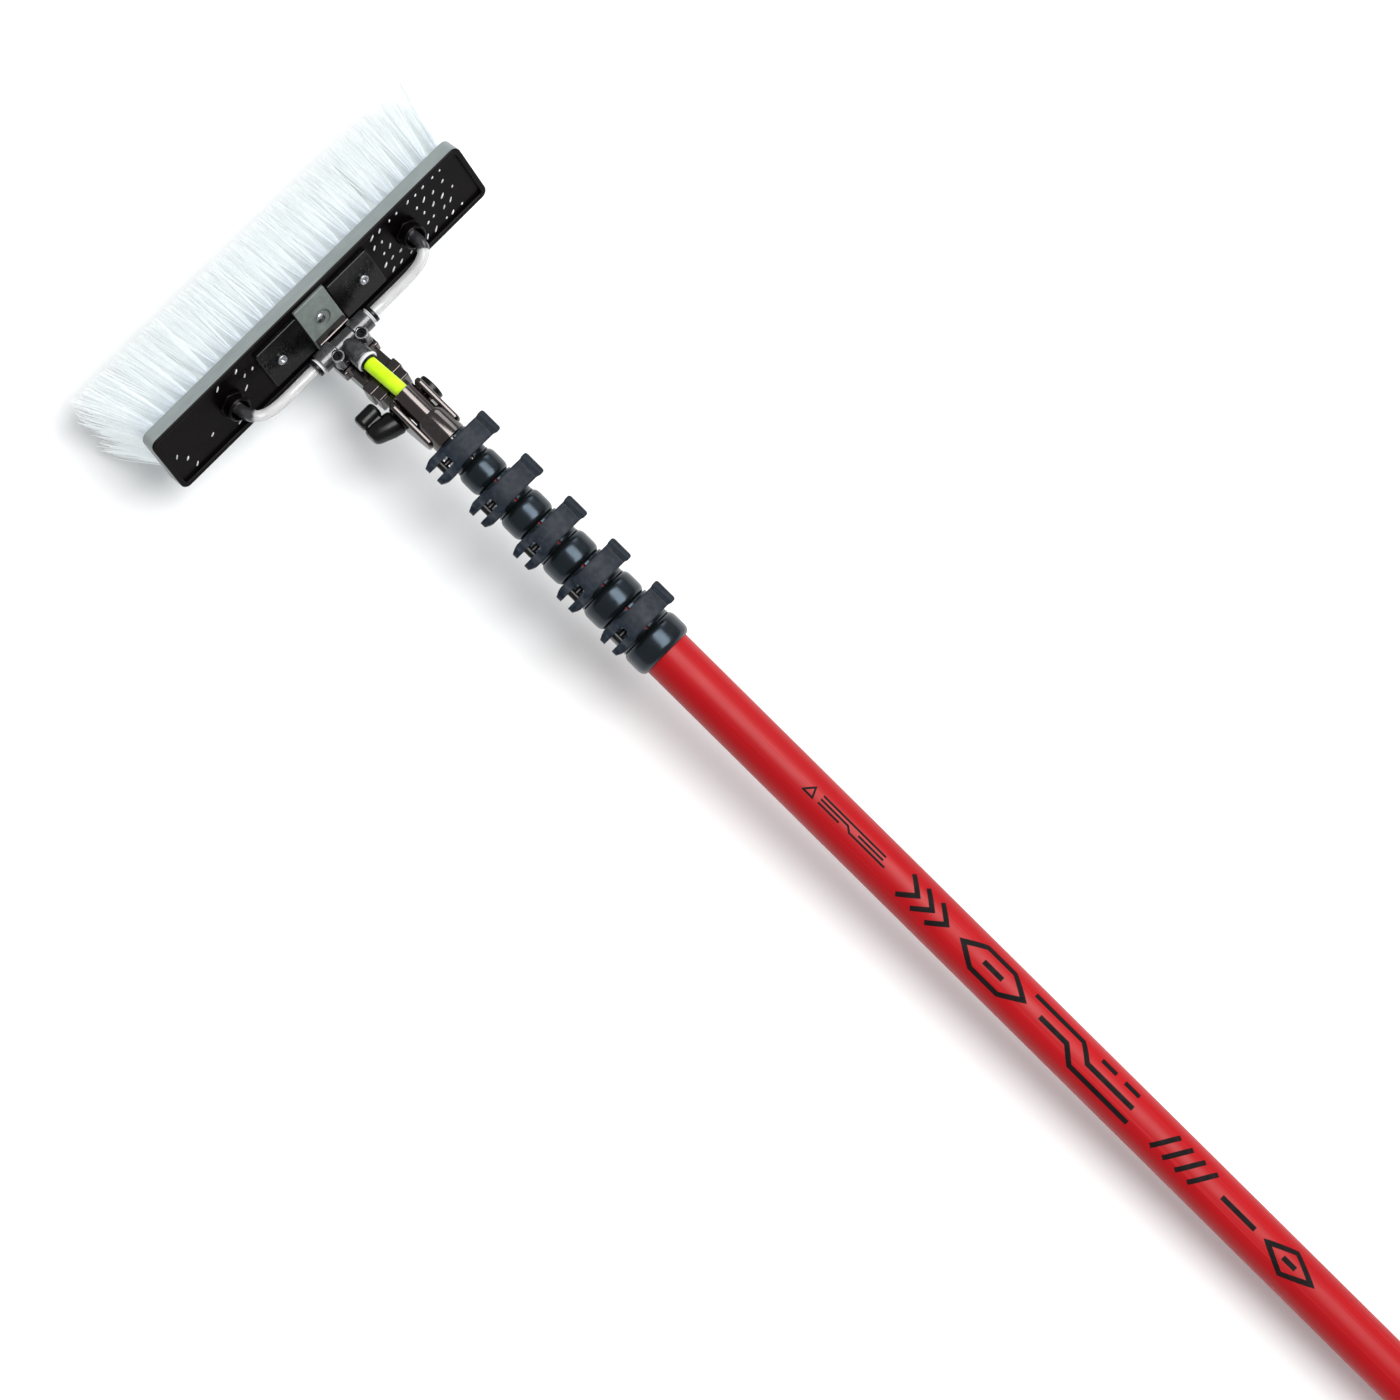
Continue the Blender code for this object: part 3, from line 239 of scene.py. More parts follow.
def mesh_object(name, bm):
    """Turn a bmesh into a linked object, with its faces pointing out."""
    bmesh.ops.remove_doubles(bm, verts=bm.verts, dist=MERGE)
    bmesh.ops.recalc_face_normals(bm, faces=bm.faces)
    mesh = bpy.data.meshes.new(name)
    bm.to_mesh(mesh)
    bm.free()
    return linked(name, mesh)


def applied(obj):
    """Bake the modifiers of obj into its mesh."""
    evaluated = obj.evaluated_get(bpy.context.evaluated_depsgraph_get())
    mesh = bpy.data.meshes.new_from_object(evaluated)
    obj.modifiers.clear()
    obj.data = mesh
    return obj


def combine(operation, target, tool):
    """Apply one exact Boolean to target, and remove the tool."""
    modifier = target.modifiers.new(operation, "BOOLEAN")
    modifier.operation = operation
    modifier.solver = "EXACT"
    modifier.object = tool
    applied(target)
    bpy.data.objects.remove(tool, do_unlink=True)


def cut(target, *tools):
    """Take each tool away from target."""
    for tool in tools:
        combine("DIFFERENCE", target, tool)


def join(target, other):
    """Make another solid one with target."""
    combine("UNION", target, other)


def bevel(obj, width, segments=3):
    """Round the sharp edges of obj."""
    modifier = obj.modifiers.new("Rounded edges", "BEVEL")
    modifier.width = width
    modifier.segments = segments
    modifier.limit_method = "ANGLE"
    modifier.angle_limit = BEVEL_ANGLE
    return applied(obj)


TURNS = {
    "X": Matrix.Identity(3),
    "Y": Matrix.Rotation(math.radians(90.0), 3, "Z"),
    "Z": Matrix.Rotation(math.radians(-90.0), 3, "Y"),
}


def turned(name, profile, axis="X", centre=(0.0, 0.0, 0.0), facets=ROUND):
    """Spin an outline of (along, radius) points about an axis through centre."""
    bm = bmesh.new()
    turn = TURNS[axis]
    verts = [bm.verts.new(turn @ Vector((along, 0.0, radius))) for along, radius in profile]
    edges = [bm.edges.new(pair) for pair in zip(verts, verts[1:])]
    if profile[0][1] > 0.0 or profile[-1][1] > 0.0:
        edges.append(bm.edges.new((verts[-1], verts[0])))
    bmesh.ops.spin(bm, geom=verts + edges, cent=(0.0, 0.0, 0.0), axis=turn @ ALONG,
                   angle=math.tau, steps=facets, use_merge=True)
    bmesh.ops.remove_doubles(bm, verts=bm.verts, dist=MERGE)
    bmesh.ops.translate(bm, verts=bm.verts, vec=centre)
    return mesh_object(name, bm)


def rod(start, end, radius, axis="X", centre=(0.0, 0.0, 0.0), facets=ROUND_SMALL):
    """A round cutter from start to end along an axis."""
    outline = [(start, 0.0), (start, radius), (end, radius), (end, 0.0)]
    return turned("rod", outline, axis, centre, facets)


def block(name, low, high):
    """A box between two corners."""
    bm = bmesh.new()
    size = Matrix.Diagonal((*(Vector(high) - Vector(low)), 1.0))
    middle = Matrix.Translation((Vector(high) + Vector(low)) / 2.0)
    bmesh.ops.create_cube(bm, size=1.0, matrix=middle @ size)
    return mesh_object(name, bm)


def arc(centre_x, centre_y, radius, start, end, steps):
    """Points on an arc, angles in degrees."""
    angles = [math.radians(start + (end - start) * i / steps) for i in range(steps + 1)]
    return [(centre_x + radius * math.cos(a), centre_y + radius * math.sin(a)) for a in angles]


def extruded(name, outline, low, high, along="X"):
    """Extrude a closed outline: its points are (y, z) along X, or (x, z) along Y."""
    bm = bmesh.new()
    if along == "X":
        face = bm.faces.new([bm.verts.new((low, y, z)) for y, z in outline])
        step = Vector((high - low, 0.0, 0.0))
    else:
        face = bm.faces.new([bm.verts.new((x, low, z)) for x, z in outline])
        step = Vector((0.0, high - low, 0.0))
    top = bmesh.ops.extrude_face_region(bm, geom=[face])["geom"]
    moved = [item for item in top if isinstance(item, bmesh.types.BMVert)]
    bmesh.ops.translate(bm, verts=moved, vec=step)
    return mesh_object(name, bm)


def bezier(start, start_handle, end_handle, end, steps):
    """Points on one cubic curve."""
    points = []
    for i in range(steps + 1):
        t = i / steps
        s = 1.0 - t
        points.append(start * s ** 3 + start_handle * (3 * s * s * t)
                      + end_handle * (3 * s * t * t) + end * t ** 3)
    return points


def angles_round(count):
    """Angles of evenly spaced points round a circle."""
    return [math.tau * k / count for k in range(count)]


def skin(bm, lower, upper):
    """Faces from one closed ring of points to the next."""
    for k in range(len(lower)):
        after = (k + 1) % len(lower)
        bm.faces.new((lower[k], lower[after], upper[after], upper[k]))


def hose(name, path, radius, bore):
    """A hollow hose swept along path, with flat ring ends."""
    bm = bmesh.new()
    tangents = [(path[min(i + 1, len(path) - 1)] - path[max(i - 1, 0)]).normalized()
                for i in range(len(path))]
    side = tangents[0].orthogonal().normalized()
    rings = []
    for point, tangent, previous in zip(path, tangents, [tangents[0], *tangents]):
        side = previous.rotation_difference(tangent) @ side
        other = tangent.cross(side)
        rings.append([[bm.verts.new(point + size * (math.cos(a) * side + math.sin(a) * other))
                       for a in angles_round(ROUND_SMALL)] for size in (radius, bore)])
    for (outer, inner), (next_outer, next_inner) in zip(rings, rings[1:]):
        skin(bm, outer, next_outer)
        skin(bm, inner, next_inner)
    for outer, inner in (rings[0], rings[-1]):
        skin(bm, outer, inner)
    return mesh_object(name, bm)


def refined(node):
    """The shape of a CAD node with its hard edges rounded."""
    source = NODES[node].data
    mesh = bpy.data.meshes.new(node)
    mesh.from_pydata([vert.co for vert in source.vertices], [],
                     [list(face.vertices) for face in source.polygons])
    bm = bmesh.new()
    bm.from_mesh(mesh)
    bpy.data.meshes.remove(mesh)
    flat = math.radians(0.4)
    bmesh.ops.remove_doubles(bm, verts=bm.verts, dist=10.0 * MERGE)
    bmesh.ops.dissolve_limit(bm, angle_limit=flat, verts=bm.verts, edges=bm.edges)
    hard = [edge for edge in bm.edges if edge.is_manifold and edge.calc_face_angle() > SHARP_ANGLE]
    bmesh.ops.bevel(bm, geom=hard, offset=EDGE_ROUND, offset_type="OFFSET", segments=2,
                    profile=0.5, affect="EDGES", clamp_overlap=False)
    return mesh_object(node + "_finish", bm)


def shown(obj, body, slot, mat=None, replaces=(), sharp=SHARP_ANGLE, matrix=None, flat_faces=False):
    """Give a piece its place, shading, body, slot and material: mat, or else the slot's own."""
    if matrix is not None:
        obj.data.transform(matrix)
    obj.data.materials.clear()
    obj.data.materials.append(mat or MATERIALS[slot])
    obj.data.shade_smooth()
    obj.data.set_sharp_from_angle(angle=sharp)
    if flat_faces:
        modifier = obj.modifiers.new("Flat faces stay flat", "WEIGHTED_NORMAL")
        modifier.keep_sharp = True
        applied(obj)
    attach(obj, body)
    if replaces:
        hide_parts(*replaces)


# Materials

def srgb(red, green, blue):
    """Linear colour from an 8-bit display colour."""
    channels = [channel / 255.0 for channel in (red, green, blue)]
    return (*[c / 12.92 if c <= 0.04045 else ((c + 0.055) / 1.055) ** 2.4 for c in channels], 1.0)


def add(tree, kind, inputs=None, **settings):
    """Add a shader node, with its inputs linked or set."""
    made = tree.nodes.new("ShaderNode" + kind)
    for name, value in settings.items():
        setattr(made, name, value)
    for key, value in (inputs or {}).items():
        if isinstance(value, bpy.types.NodeSocket):
            tree.links.new(value, made.inputs[key])
        else:
            made.inputs[key].default_value = value
    return made


def noise(tree, coords, size, detail=3.0):
    """Noise whose features are about size across."""
    inputs = {"Vector": coords, "Scale": 1.0 / size, "Detail": detail}
    return add(tree, "TexNoise", inputs).outputs[0]


def spread(tree, value, low, high, to_low=0.0, to_high=1.0):
    """Map a value from one range to another, clamped."""
    return add(tree, "MapRange", {0: value, 1: low, 2: high, 3: to_low, 4: to_high}).outputs[0]


def blended(tree, share, first, second):
    """Mix two colours."""
    return add(tree, "Mix", {0: share, 6: first, 7: second}, data_type="RGBA").outputs[2]


def product(tree, first, second):
    """Multiply two values."""
    return add(tree, "Math", {0: first, 1: second}, operation="MULTIPLY").outputs[0]


def placed(tree, space, scale=(1.0, 1.0, 1.0)):
    """Coordinates in one of the frames, stretched by scale."""
    inputs = {"Vector": add(tree, "TexCoord").outputs["Object"], "Location": space.translation,
              "Rotation": space.to_euler(), "Scale": scale}
    return add(tree, "Mapping", inputs, vector_type="TEXTURE").outputs[0]


def surface(name, dark, light, rough, mottle, grain, depth, wear=None, streaks=None,
            stretch=(1.0, 1.0, 1.0), space=POLE, **inputs):
    """Principled finish: mottled colour, grained bump, uneven gloss, lighter edges and long scuffs.

    dark, light   the two mottled colours, in blotches of size mottle
    rough         lowest and highest roughness
    grain, depth  size and depth of the bump
    wear   colour and share of the lighter edges: worn edges, and on the tee's plastic a painted highlight along its rims
    streaks       colour, share, length and width of the scuffs
    """
    mat = bpy.data.materials.new(name)
    mat.use_nodes = True
    tree = mat.node_tree
    shader = tree.nodes["Principled BSDF"]
    local = placed(tree, space, stretch)
    cloudy = noise(tree, local, mottle)
    fine = noise(tree, local, grain, 2.0)
    colour = blended(tree, spread(tree, cloudy, 0.32, 0.68), srgb(*dark), srgb(*light))
    gloss = spread(tree, noise(tree, local, mottle * 0.35), 0.3, 0.7, *rough)
    if streaks:
        tint, share, length, width = streaks
        long = placed(tree, space, (length / width, 1.0, 1.0))
        lines = spread(tree, noise(tree, long, width, 4.0), 0.56, 0.74, 0.0, share)
        colour = blended(tree, lines, colour, srgb(*tint))
        gloss = add(tree, "Math", {0: gloss, 1: product(tree, lines, 0.35)}).outputs[0]
    if wear:
        tint, share = wear
        # Lighter convex edges: worn edges, and on the tee's plastic a painted highlight along its rims
        edges = spread(tree, add(tree, "NewGeometry").outputs["Pointiness"], 0.515, 0.60)
        patchy = spread(tree, noise(tree, local, 0.004), 0.42, 0.62, 0.0, share)
        colour = blended(tree, product(tree, edges, patchy), colour, srgb(*tint))
    tree.links.new(colour, shader.inputs["Base Color"])
    tree.links.new(gloss, shader.inputs["Roughness"])
    bump = add(tree, "Bump", {"Height": fine, "Distance": depth, "Strength": 1.0})
    tree.links.new(bump.outputs[0], shader.inputs["Normal"])
    for key, value in inputs.items():
        shader.inputs[key.replace("_", " ")].default_value = value
    return mat


def bristle_surface():
    """White filaments, with painted shade that makes them bluer and darker towards the stock, and a painted glow.
    """
    mat = surface("bristle_white", (199, 204, 205), (210, 214, 215), (0.45, 0.60), mottle=0.004,
                  grain=0.0012, depth=0.00001, space=BRUSH, Specular_IOR_Level=0.25)
    tree = mat.node_tree
    shader = tree.nodes["Principled BSDF"]
    base = shader.inputs["Base Color"].links[0].from_socket
    height = add(tree, "SeparateXYZ", {0: placed(tree, BRUSH)}).outputs["Z"]
    # Painted shade: the filaments turn bluer and darker towards the stock, where the tufts shade each other
    root = spread(tree, height, STOCK_LOW.z - ROOT_SHADE_DEPTH, STOCK_LOW.z, 0.0, 0.50)
    tree.links.new(blended(tree, root, base, srgb(186, 198, 214)), shader.inputs["Base Color"])
    shader.inputs["Subsurface Weight"].default_value = 0.6
    shader.inputs["Subsurface Radius"].default_value = (1.0, 1.0, 1.0)
    shader.inputs["Subsurface Scale"].default_value = 0.0030
    # Painted glow: the filaments give off light of their own, near-white at the tips and a dim blue-grey near the
    # stock
    painted_glow = blended(tree, root, srgb(240, 247, 248), srgb(96, 106, 122))
    tree.links.new(painted_glow, shader.inputs["Emission Color"])
    shader.inputs["Emission Strength"].default_value = 0.245
    return mat


# dark, light, rough, mottle, grain and depth of each, and what else surface() takes
FINISHES = {
    "red_lacquer": ((157, 4, 13), (169, 8, 18), (0.38, 0.48), 0.05, 0.0016, 0.000012,
        {"streaks": ((208, 62, 68), 0.3, 0.35, 0.0012), "stretch": (3.0, 1.0, 1.0),
         "Specular_IOR_Level": 0.22}),
    "dark_lacquer": ((14, 9, 10), (21, 14, 15), (0.12, 0.16), 0.03, 0.0010, 0.000003,
        {"streaks": ((90, 72, 74), 0.2, 0.10, 0.0008), "Specular_IOR_Level": 0.95,
         "Specular_Tint": (1.0, 0.90, 0.88, 1.0)}),
    "clamp_plastic": ((5, 16, 28), (9, 21, 34), (0.46, 0.56), 0.014, 0.00045, 0.000022,
        {"wear": ((74, 82, 92), 0.4), "Specular_IOR_Level": 0.22}),
    "collar_plastic": ((14, 17, 18), (20, 23, 25), (0.20, 0.27), 0.012, 0.0009, 0.000005,
        {"wear": ((70, 78, 84), 0.4), "Specular_Tint": (0.62, 0.80, 1.0, 1.0),
         "Specular_IOR_Level": 0.42}),
    "black_plastic": ((6, 6, 7), (10, 10, 11), (0.22, 0.32), 0.008, 0.0006, 0.000005,
        {"wear": ((74, 74, 78), 0.12), "Specular_IOR_Level": 0.24}),
    "cap_rubber": ((22, 22, 24), (38, 38, 40), (0.68, 0.85), 0.01, 0.0008, 0.00004,
        {"wear": ((80, 80, 82), 0.25)}),
    "bright_steel": ((176, 178, 182), (210, 212, 216), (0.20, 0.34), 0.003, 0.00025, 0.000006,
        {"Metallic": 1.0}),
    "black_steel": ((30, 29, 31), (48, 47, 50), (0.28, 0.40), 0.003, 0.00025, 0.000008,
        {"Metallic": 0.8}),
    "neck_plastic": ((11, 8, 9), (17, 12, 13), (0.12, 0.15), 0.02, 0.0012, 0.000003,
        {"wear": ((110, 98, 100), 0.15), "Specular_IOR_Level": 0.95,
         "Specular_Tint": (1.0, 0.90, 0.88, 1.0)}),
    # The tee's very light edges are a painted highlight on its rims and bosses
    "tee_plastic": ((34, 34, 36), (46, 46, 49), (0.18, 0.27), 0.006, 0.0005, 0.000008,
        {"wear": ((170, 170, 174), 0.8), "Specular_IOR_Level": 0.75}),
    "collet_white": ((206, 208, 211), (226, 228, 230), (0.28, 0.40), 0.005, 0.0006, 0.00001, {}),
    "hose_yellow_green": ((188, 238, 4), (206, 252, 14), (0.36, 0.48), 0.010, 0.0008, 0.000015,
        {"streaks": ((150, 206, 10), 0.35, 0.05, 0.0008)}),
    "clear_tube": ((236, 236, 236), (248, 248, 248), (0.05, 0.11), 0.012, 0.002, 0.000006,
        {"Transmission_Weight": 0.65, "IOR": 1.40}),
    "grey_plastic": ((128, 136, 136), (138, 146, 146), (0.46, 0.56), 0.016, 0.0006, 0.00003,
        {"space": BRUSH, "stretch": (1.0, 3.0, 1.0), "wear": ((180, 187, 185), 0.15)}),
    "saddle_grey": ((102, 110, 107), (116, 124, 121), (0.40, 0.54), 0.006, 0.0005, 0.00003,
        {"wear": ((160, 168, 165), 0.2)}),
    "tray_plastic": ((3, 2, 2), (7, 4, 5), (0.27, 0.33), 0.010, 0.0012, 0.000003,
        {"space": BRUSH, "stretch": (1.0, 1.6, 1.0), "Specular_IOR_Level": 0.11}),
}
MATERIALS = {name: surface(name, *look, **more) for name, (*look, more) in FINISHES.items()}
MATERIALS["bristle_white"] = bristle_surface()
# Staple ends: their own pale steel colour, whitened into a painted glint that stays bright under any light
STAPLE_GLINT = surface("staple_steel_glint", (176, 176, 180), (250, 250, 252), (0.30, 0.42), mottle=0.004,
                 grain=0.00025, depth=0.000004, Metallic=0.15)
GRAPHIC = surface("tube_graphic", (8, 6, 7), (16, 12, 13), (0.62, 0.78), mottle=0.02, grain=0.0009,
                  depth=0.00001, streaks=((96, 26, 30), 0.2, 0.2, 0.0010), Specular_IOR_Level=0.15)


def replace(node, obj, matrix=None):
    """Show obj in place of a CAD node, on its body and in its slot."""
    shown(obj, BODIES[node], SLOTS[node], replaces=(node,), matrix=matrix, flat_faces=True)


# Pole

def add_tube(node):
    """A section's tube with softened rims."""
    low, high = extent(node, POLE)
    outer = (high.y - low.y) / 2.0
    wall = 0.00125
    edge = 0.0003
    profile = [(low.x, outer - wall + edge), (low.x, outer - edge)]
    profile += arc(low.x + edge, outer - edge, edge, 180, 90, 3)[1:]
    profile += arc(high.x - edge, outer - edge, edge, 90, 0, 3)
    profile += [(high.x, outer - wall + edge), (high.x - edge, outer - wall),
                (low.x + edge, outer - wall)]
    steps = 24
    tube = turned(node + "_shell", profile)
    bm = bmesh.new()
    bm.from_mesh(tube.data)
    for i in range(1, steps):
        place = ALONG * (low.x + (high.x - low.x) * i / steps)
        bmesh.ops.bisect_plane(bm, geom=bm.verts[:] + bm.edges[:] + bm.faces[:], plane_co=place,
                               plane_no=ALONG)
    bm.to_mesh(tube.data)
    bm.free()
    replace(node, tube, POLE)


def add_collar(index):
    """Glossy cup, slit ring and ears of one clamp."""
    node = f"clamp_{index}_collar"
    start = extent(node, POLE)[0].x
    tube = section_radius(index)
    inner = section_radius(index + 1)
    bore = inner + RING_CLEARANCE
    ring = inner + RING_WALL
    screw_z = inner + SCREW_ABOVE_TUBE
    crown = tube + CUP_WALL
    steps = 36
    rim = 0.0006
    inset = 0.0004               # how far the crown stays off the cup's ends
    fillet = ((0.0, 0.0008), (0.0006, 0.0002), (0.0014, 0.0))        # along, out
    profile = [(0.0, crown - CUP_CROWN - rim)]
    for i in range(steps + 1):
        along = 2.0 * i / steps - 1.0
        profile.append((inset + (CUP_LENGTH - 2.0 * inset) * (along + 1.0) / 2.0,
                        crown - CUP_CROWN * abs(along) ** 5))
    profile.append((CUP_LENGTH, crown - CUP_CROWN - rim))
    profile += [(CUP_LENGTH + along, ring + out) for along, out in fillet]
    profile += arc(COLLAR_LENGTH - rim, ring - rim, rim, 90, 0, 4)
    profile += [(COLLAR_LENGTH, bore + GAP), (COLLAR_LENGTH - GAP, bore),
                (TUBE_IN_COLLAR + GAP, bore), (TUBE_IN_COLLAR + GAP, tube + GAP),
                (GAP, tube + GAP), (0.0, tube + rim)]
    collar = turned(node + "_shell", profile)
    ears = block("ears", (EAR_LOW.x, EAR_LOW.y, 0.0),
                 (EAR_HIGH.x, EAR_HIGH.y, screw_z + EAR_HIGH.z))
    hollow = rod(EAR_LOW.x - PAST, EAR_HIGH.x + PAST, inner + RING_WALL / 2.0, facets=ROUND)
    slit = block("slit", (CUP_LENGTH + SLIT_OFFSET, -SLIT_WIDTH / 2.0, 0.0),
                 (COLLAR_LENGTH + PAST, SLIT_WIDTH / 2.0, screw_z + 2.0 * PAST))
    hole = rod(EAR_LOW.y - PAST, EAR_HIGH.y + PAST, SCREW_RADIUS + SCREW_PLAY, "Y",
               (LEVER_MIDDLE_X, 0.0, screw_z))
    cut(bevel(ears, 0.0010), hollow)
    join(collar, ears)
    cut(collar, slit, hole)
    replace(node, collar, POLE @ Matrix.Translation((start, 0.0, 0.0)))


def section_radius(index):
    """Outer radius of a section, off its CAD node."""
    node = "base_tube" if index == 1 else f"section_{index}_tube"
    low, high = extent(node, POLE)
    return (high.y - low.y) / 2.0


def plate_height(level, y):
    """Height of the lever plate's surface over the pin's axis."""
    return level - (y - PLATE_CROWN_Y) ** 2 / (2.0 * PLATE_CURVE_RADIUS)


def plate_line(level, start, length, steps):
    """Points (y, z) along the plate's curve."""
    ys = [start + length * i / steps for i in range(steps + 1)]
    return [(y, plate_height(level, y)) for y in ys]


def lever_outline():
    """Side view of the lever as (y, z) from the pin: cam, arched plate and finger lip."""
    cam_steps = 72
    cam = []
    for i in range(cam_steps + 1):
        turn = math.radians(150.0 + 300.0 * i / cam_steps)
        nose = max(math.cos(turn), 0.0) ** 4
        radius = CAM_SMALL_RADIUS + (CAM_NOSE_RADIUS - CAM_SMALL_RADIUS) * nose
        cam.append((radius * math.cos(turn), radius * math.sin(turn)))
    outer = plate_line(PLATE_OUTER, -0.004, LIP_Y + 0.009, 40)
    lip_z = plate_height(PLATE_OUTER, LIP_Y) + 0.0006
    lip = arc(LIP_Y + LIP_CORNER, lip_z, LIP_CORNER, 80, 250, 16)
    inner = plate_line(PLATE_INNER, LIP_Y + 0.0040, -0.0108 - LIP_Y, 40)
    return [(y, z - LIP_SLOPE * max(GROOVE_END_Y - y, 0.0)) for y, z in cam + outer + lip + inner]


def ramp(value, start, end):
    """Smooth step from 0 at start to 1 at end."""
    share = min(max((value - start) / (end - start), 0.0), 1.0)
    return share * share * (3.0 - 2.0 * share)


def lever_width_factor(y):
    """Plan shape of the lever: flared fork with rounded tips, waisted plate, full-width lip."""
    fork = ramp(y, -0.011, -0.004) * (LEVER_FORK_FLARE - LEVER_WAIST)
    lip = ramp(y, LIP_Y + 0.0075, LIP_Y + 0.0045) * (1.0 - LEVER_WAIST)
    tip = ramp(y, 0.003, CAM_NOSE_RADIUS + 0.002) * 0.30
    past_corner = min(max((LIP_Y + LIP_CORNER - y) / LIP_CORNER, 0.0), 1.0)
    corner = (1.0 - math.sqrt(1.0 - past_corner ** 2)) * LIP_CORNER / (LEVER_WIDTH / 2.0)
    return LEVER_WAIST + fork + lip - tip - corner


def lever_shape():
    """One lever about its pin, with a raised panel on the plate and a groove before the lip."""
    half = LEVER_WIDTH / 2.0
    lever = bevel(extruded("lever", lever_outline(), -half, half), 0.0007)
    bm = bmesh.new()
    bm.from_mesh(lever.data)
    bmesh.ops.triangulate(bm, faces=bm.faces)
    for vert in bm.verts:
        vert.co.x *= lever_width_factor(vert.co.y)
    bm.to_mesh(lever.data)
    bm.free()
    length = PANEL_END_Y - PANEL_START_Y
    panel = plate_line(PLATE_OUTER + PANEL_HEIGHT, PANEL_START_Y, length, 30)
    panel += reversed(plate_line(PLATE_OUTER - PANEL_SINK, PANEL_START_Y, length, 30))
    panel_half = half * LEVER_WAIST - PANEL_MARGIN
    join(lever, bevel(extruded("panel", panel, -panel_half, panel_half), 0.0003, 2))
    groove_floor = plate_height(PLATE_OUTER, GROOVE_END_Y) - GROOVE_DEPTH
    groove = block("groove", (-half - PAST, GROOVE_END_Y, groove_floor),
                   (half + PAST, PANEL_END_Y + 0.0001, groove_floor + PAST))
    reach = CAM_NOSE_RADIUS + PAST
    slot = block("slot", (-LEVER_SLOT / 2.0, LEVER_SLOT_END, -reach),
                 (LEVER_SLOT / 2.0, reach, reach))
    cut(lever, groove, slot, rod(-half - PAST, half + PAST, PIN_HOLE_RADIUS))
    return lever


def add_levers():
    """The five levers, each on its own hinge."""
    shape = lever_shape()
    for index in range(1, SECTIONS):
        lever = linked(f"clamp_{index}_lever_shell", shape.data.copy())
        place = POLE.copy()
        place.translation = Vector(JOINTS[f"clamp_{index}_lever_hinge"]["pos_m"])
        replace(f"clamp_{index}_lever", lever, place)
    bpy.data.objects.remove(shape, do_unlink=True)


# Graphic on the base tube: each line is its points, as (mm from the collar towards the butt,
# mm round the tube), and whether it closes

GRAPHIC_TOP = 0.00006
LINE_STEPS = 6               # strips across the width of a line
WIDE_WIDTH = 3.8             # mm
FINE_WIDTH = 1.5
LINE_SPACING = 1.5           # mm between the points along a line
WIDE_LINES = [([(x, -10), (x + 12, 0), (x, 10)], False) for x in (228, 242, 256)]
WIDE_LINES += [
    ([(284, 0), (300, -10), (326, -10), (342, 0), (326, 10), (300, 10)], True),
    ([(304, 0), (322, 0)], False),
    ([(346, -10), (392, -10), (404, 0), (448, 0)], False),
    ([(358, 0), (384, 0), (396, 10), (452, 10)], False),
    ([(410, -10), (424, -10)], False),
    ([(432, -10), (446, -10)], False),
]
WIDE_LINES += [([(x, 10), (x + 12, -10)], False) for x in (474, 486, 498, 510)]
WIDE_LINES += [
    ([(534, 0), (566, 0)], False),
    ([(578, 0), (599, -10), (620, 0), (599, 10)], True),
    ([(593, 0), (605, 0)], False),
]
FINE_LINES = [
    ([(132, 3), (138, -4), (141, 3)], True),
    ([(146, -3.6), (206, -3.6)], False),
    ([(146, -0.6), (172, -0.6), (176, 2.4), (210, 2.4)], False),
    ([(182, -0.6), (206, -0.6)], False),
    ([(146, 2.4), (166, 2.4)], False),
]


def add_line(bm, points, closed, width, radius):
    """A thin closed strip that follows a line round the tube."""
    corners = [Vector(point) for point in points]
    path = []
    for first, second in zip(corners, corners[1:] + corners[:1] if closed else corners[1:]):
        steps = max(1, math.ceil((second - first).length / LINE_SPACING))
        path += [first.lerp(second, i / steps) for i in range(steps)]
    if not closed:
        path.append(corners[-1])
    count = len(path)
    rings = []
    for i, point in enumerate(path):
        before = path[i - 1] if closed or i > 0 else point - (path[1] - point)
        after = path[(i + 1) % count] if closed or i < count - 1 else point + (point - path[i - 1])
        incoming = (point - before).normalized()
        outgoing = (after - point).normalized()
        mean = (incoming + outgoing).normalized()
        reach = width / 2.0 / max(mean.dot(outgoing), 0.5)
        normal = Vector((-mean.y, mean.x)) * reach
        ring = []
        shares = [1.0 - 2.0 * k / LINE_STEPS for k in range(LINE_STEPS + 1)]
        for share, level in [(k, GRAPHIC_TOP) for k in shares] + [(-k, -SINK) for k in shares]:
            along, around = point + normal * share
            turn = around / 1000.0 / radius
            height = radius + level
            place = (-along / 1000.0, height * math.sin(turn), height * math.cos(turn))
            ring.append(bm.verts.new(place))
        rings.append(ring)
    for lower, upper in zip(rings, rings[1:] + rings[:1] if closed else rings[1:]):
        skin(bm, lower, upper)
    if not closed:
        bm.faces.new(rings[0])
        bm.faces.new(rings[-1])


def add_graphic():
    """Generic chevrons, dashes and closed shapes printed along the base tube."""
    radius = section_radius(1)
    for name, lines, width in (("tube_graphic_wide", WIDE_LINES, WIDE_WIDTH),
                               ("tube_graphic_fine", FINE_LINES, FINE_WIDTH)):
        bm = bmesh.new()
        for points, closed in lines:
            add_line(bm, points, closed, width, radius)
        shown(mesh_object(name, bm), "base_section", "red_lacquer", GRAPHIC, matrix=POLE)


# Neck and tee

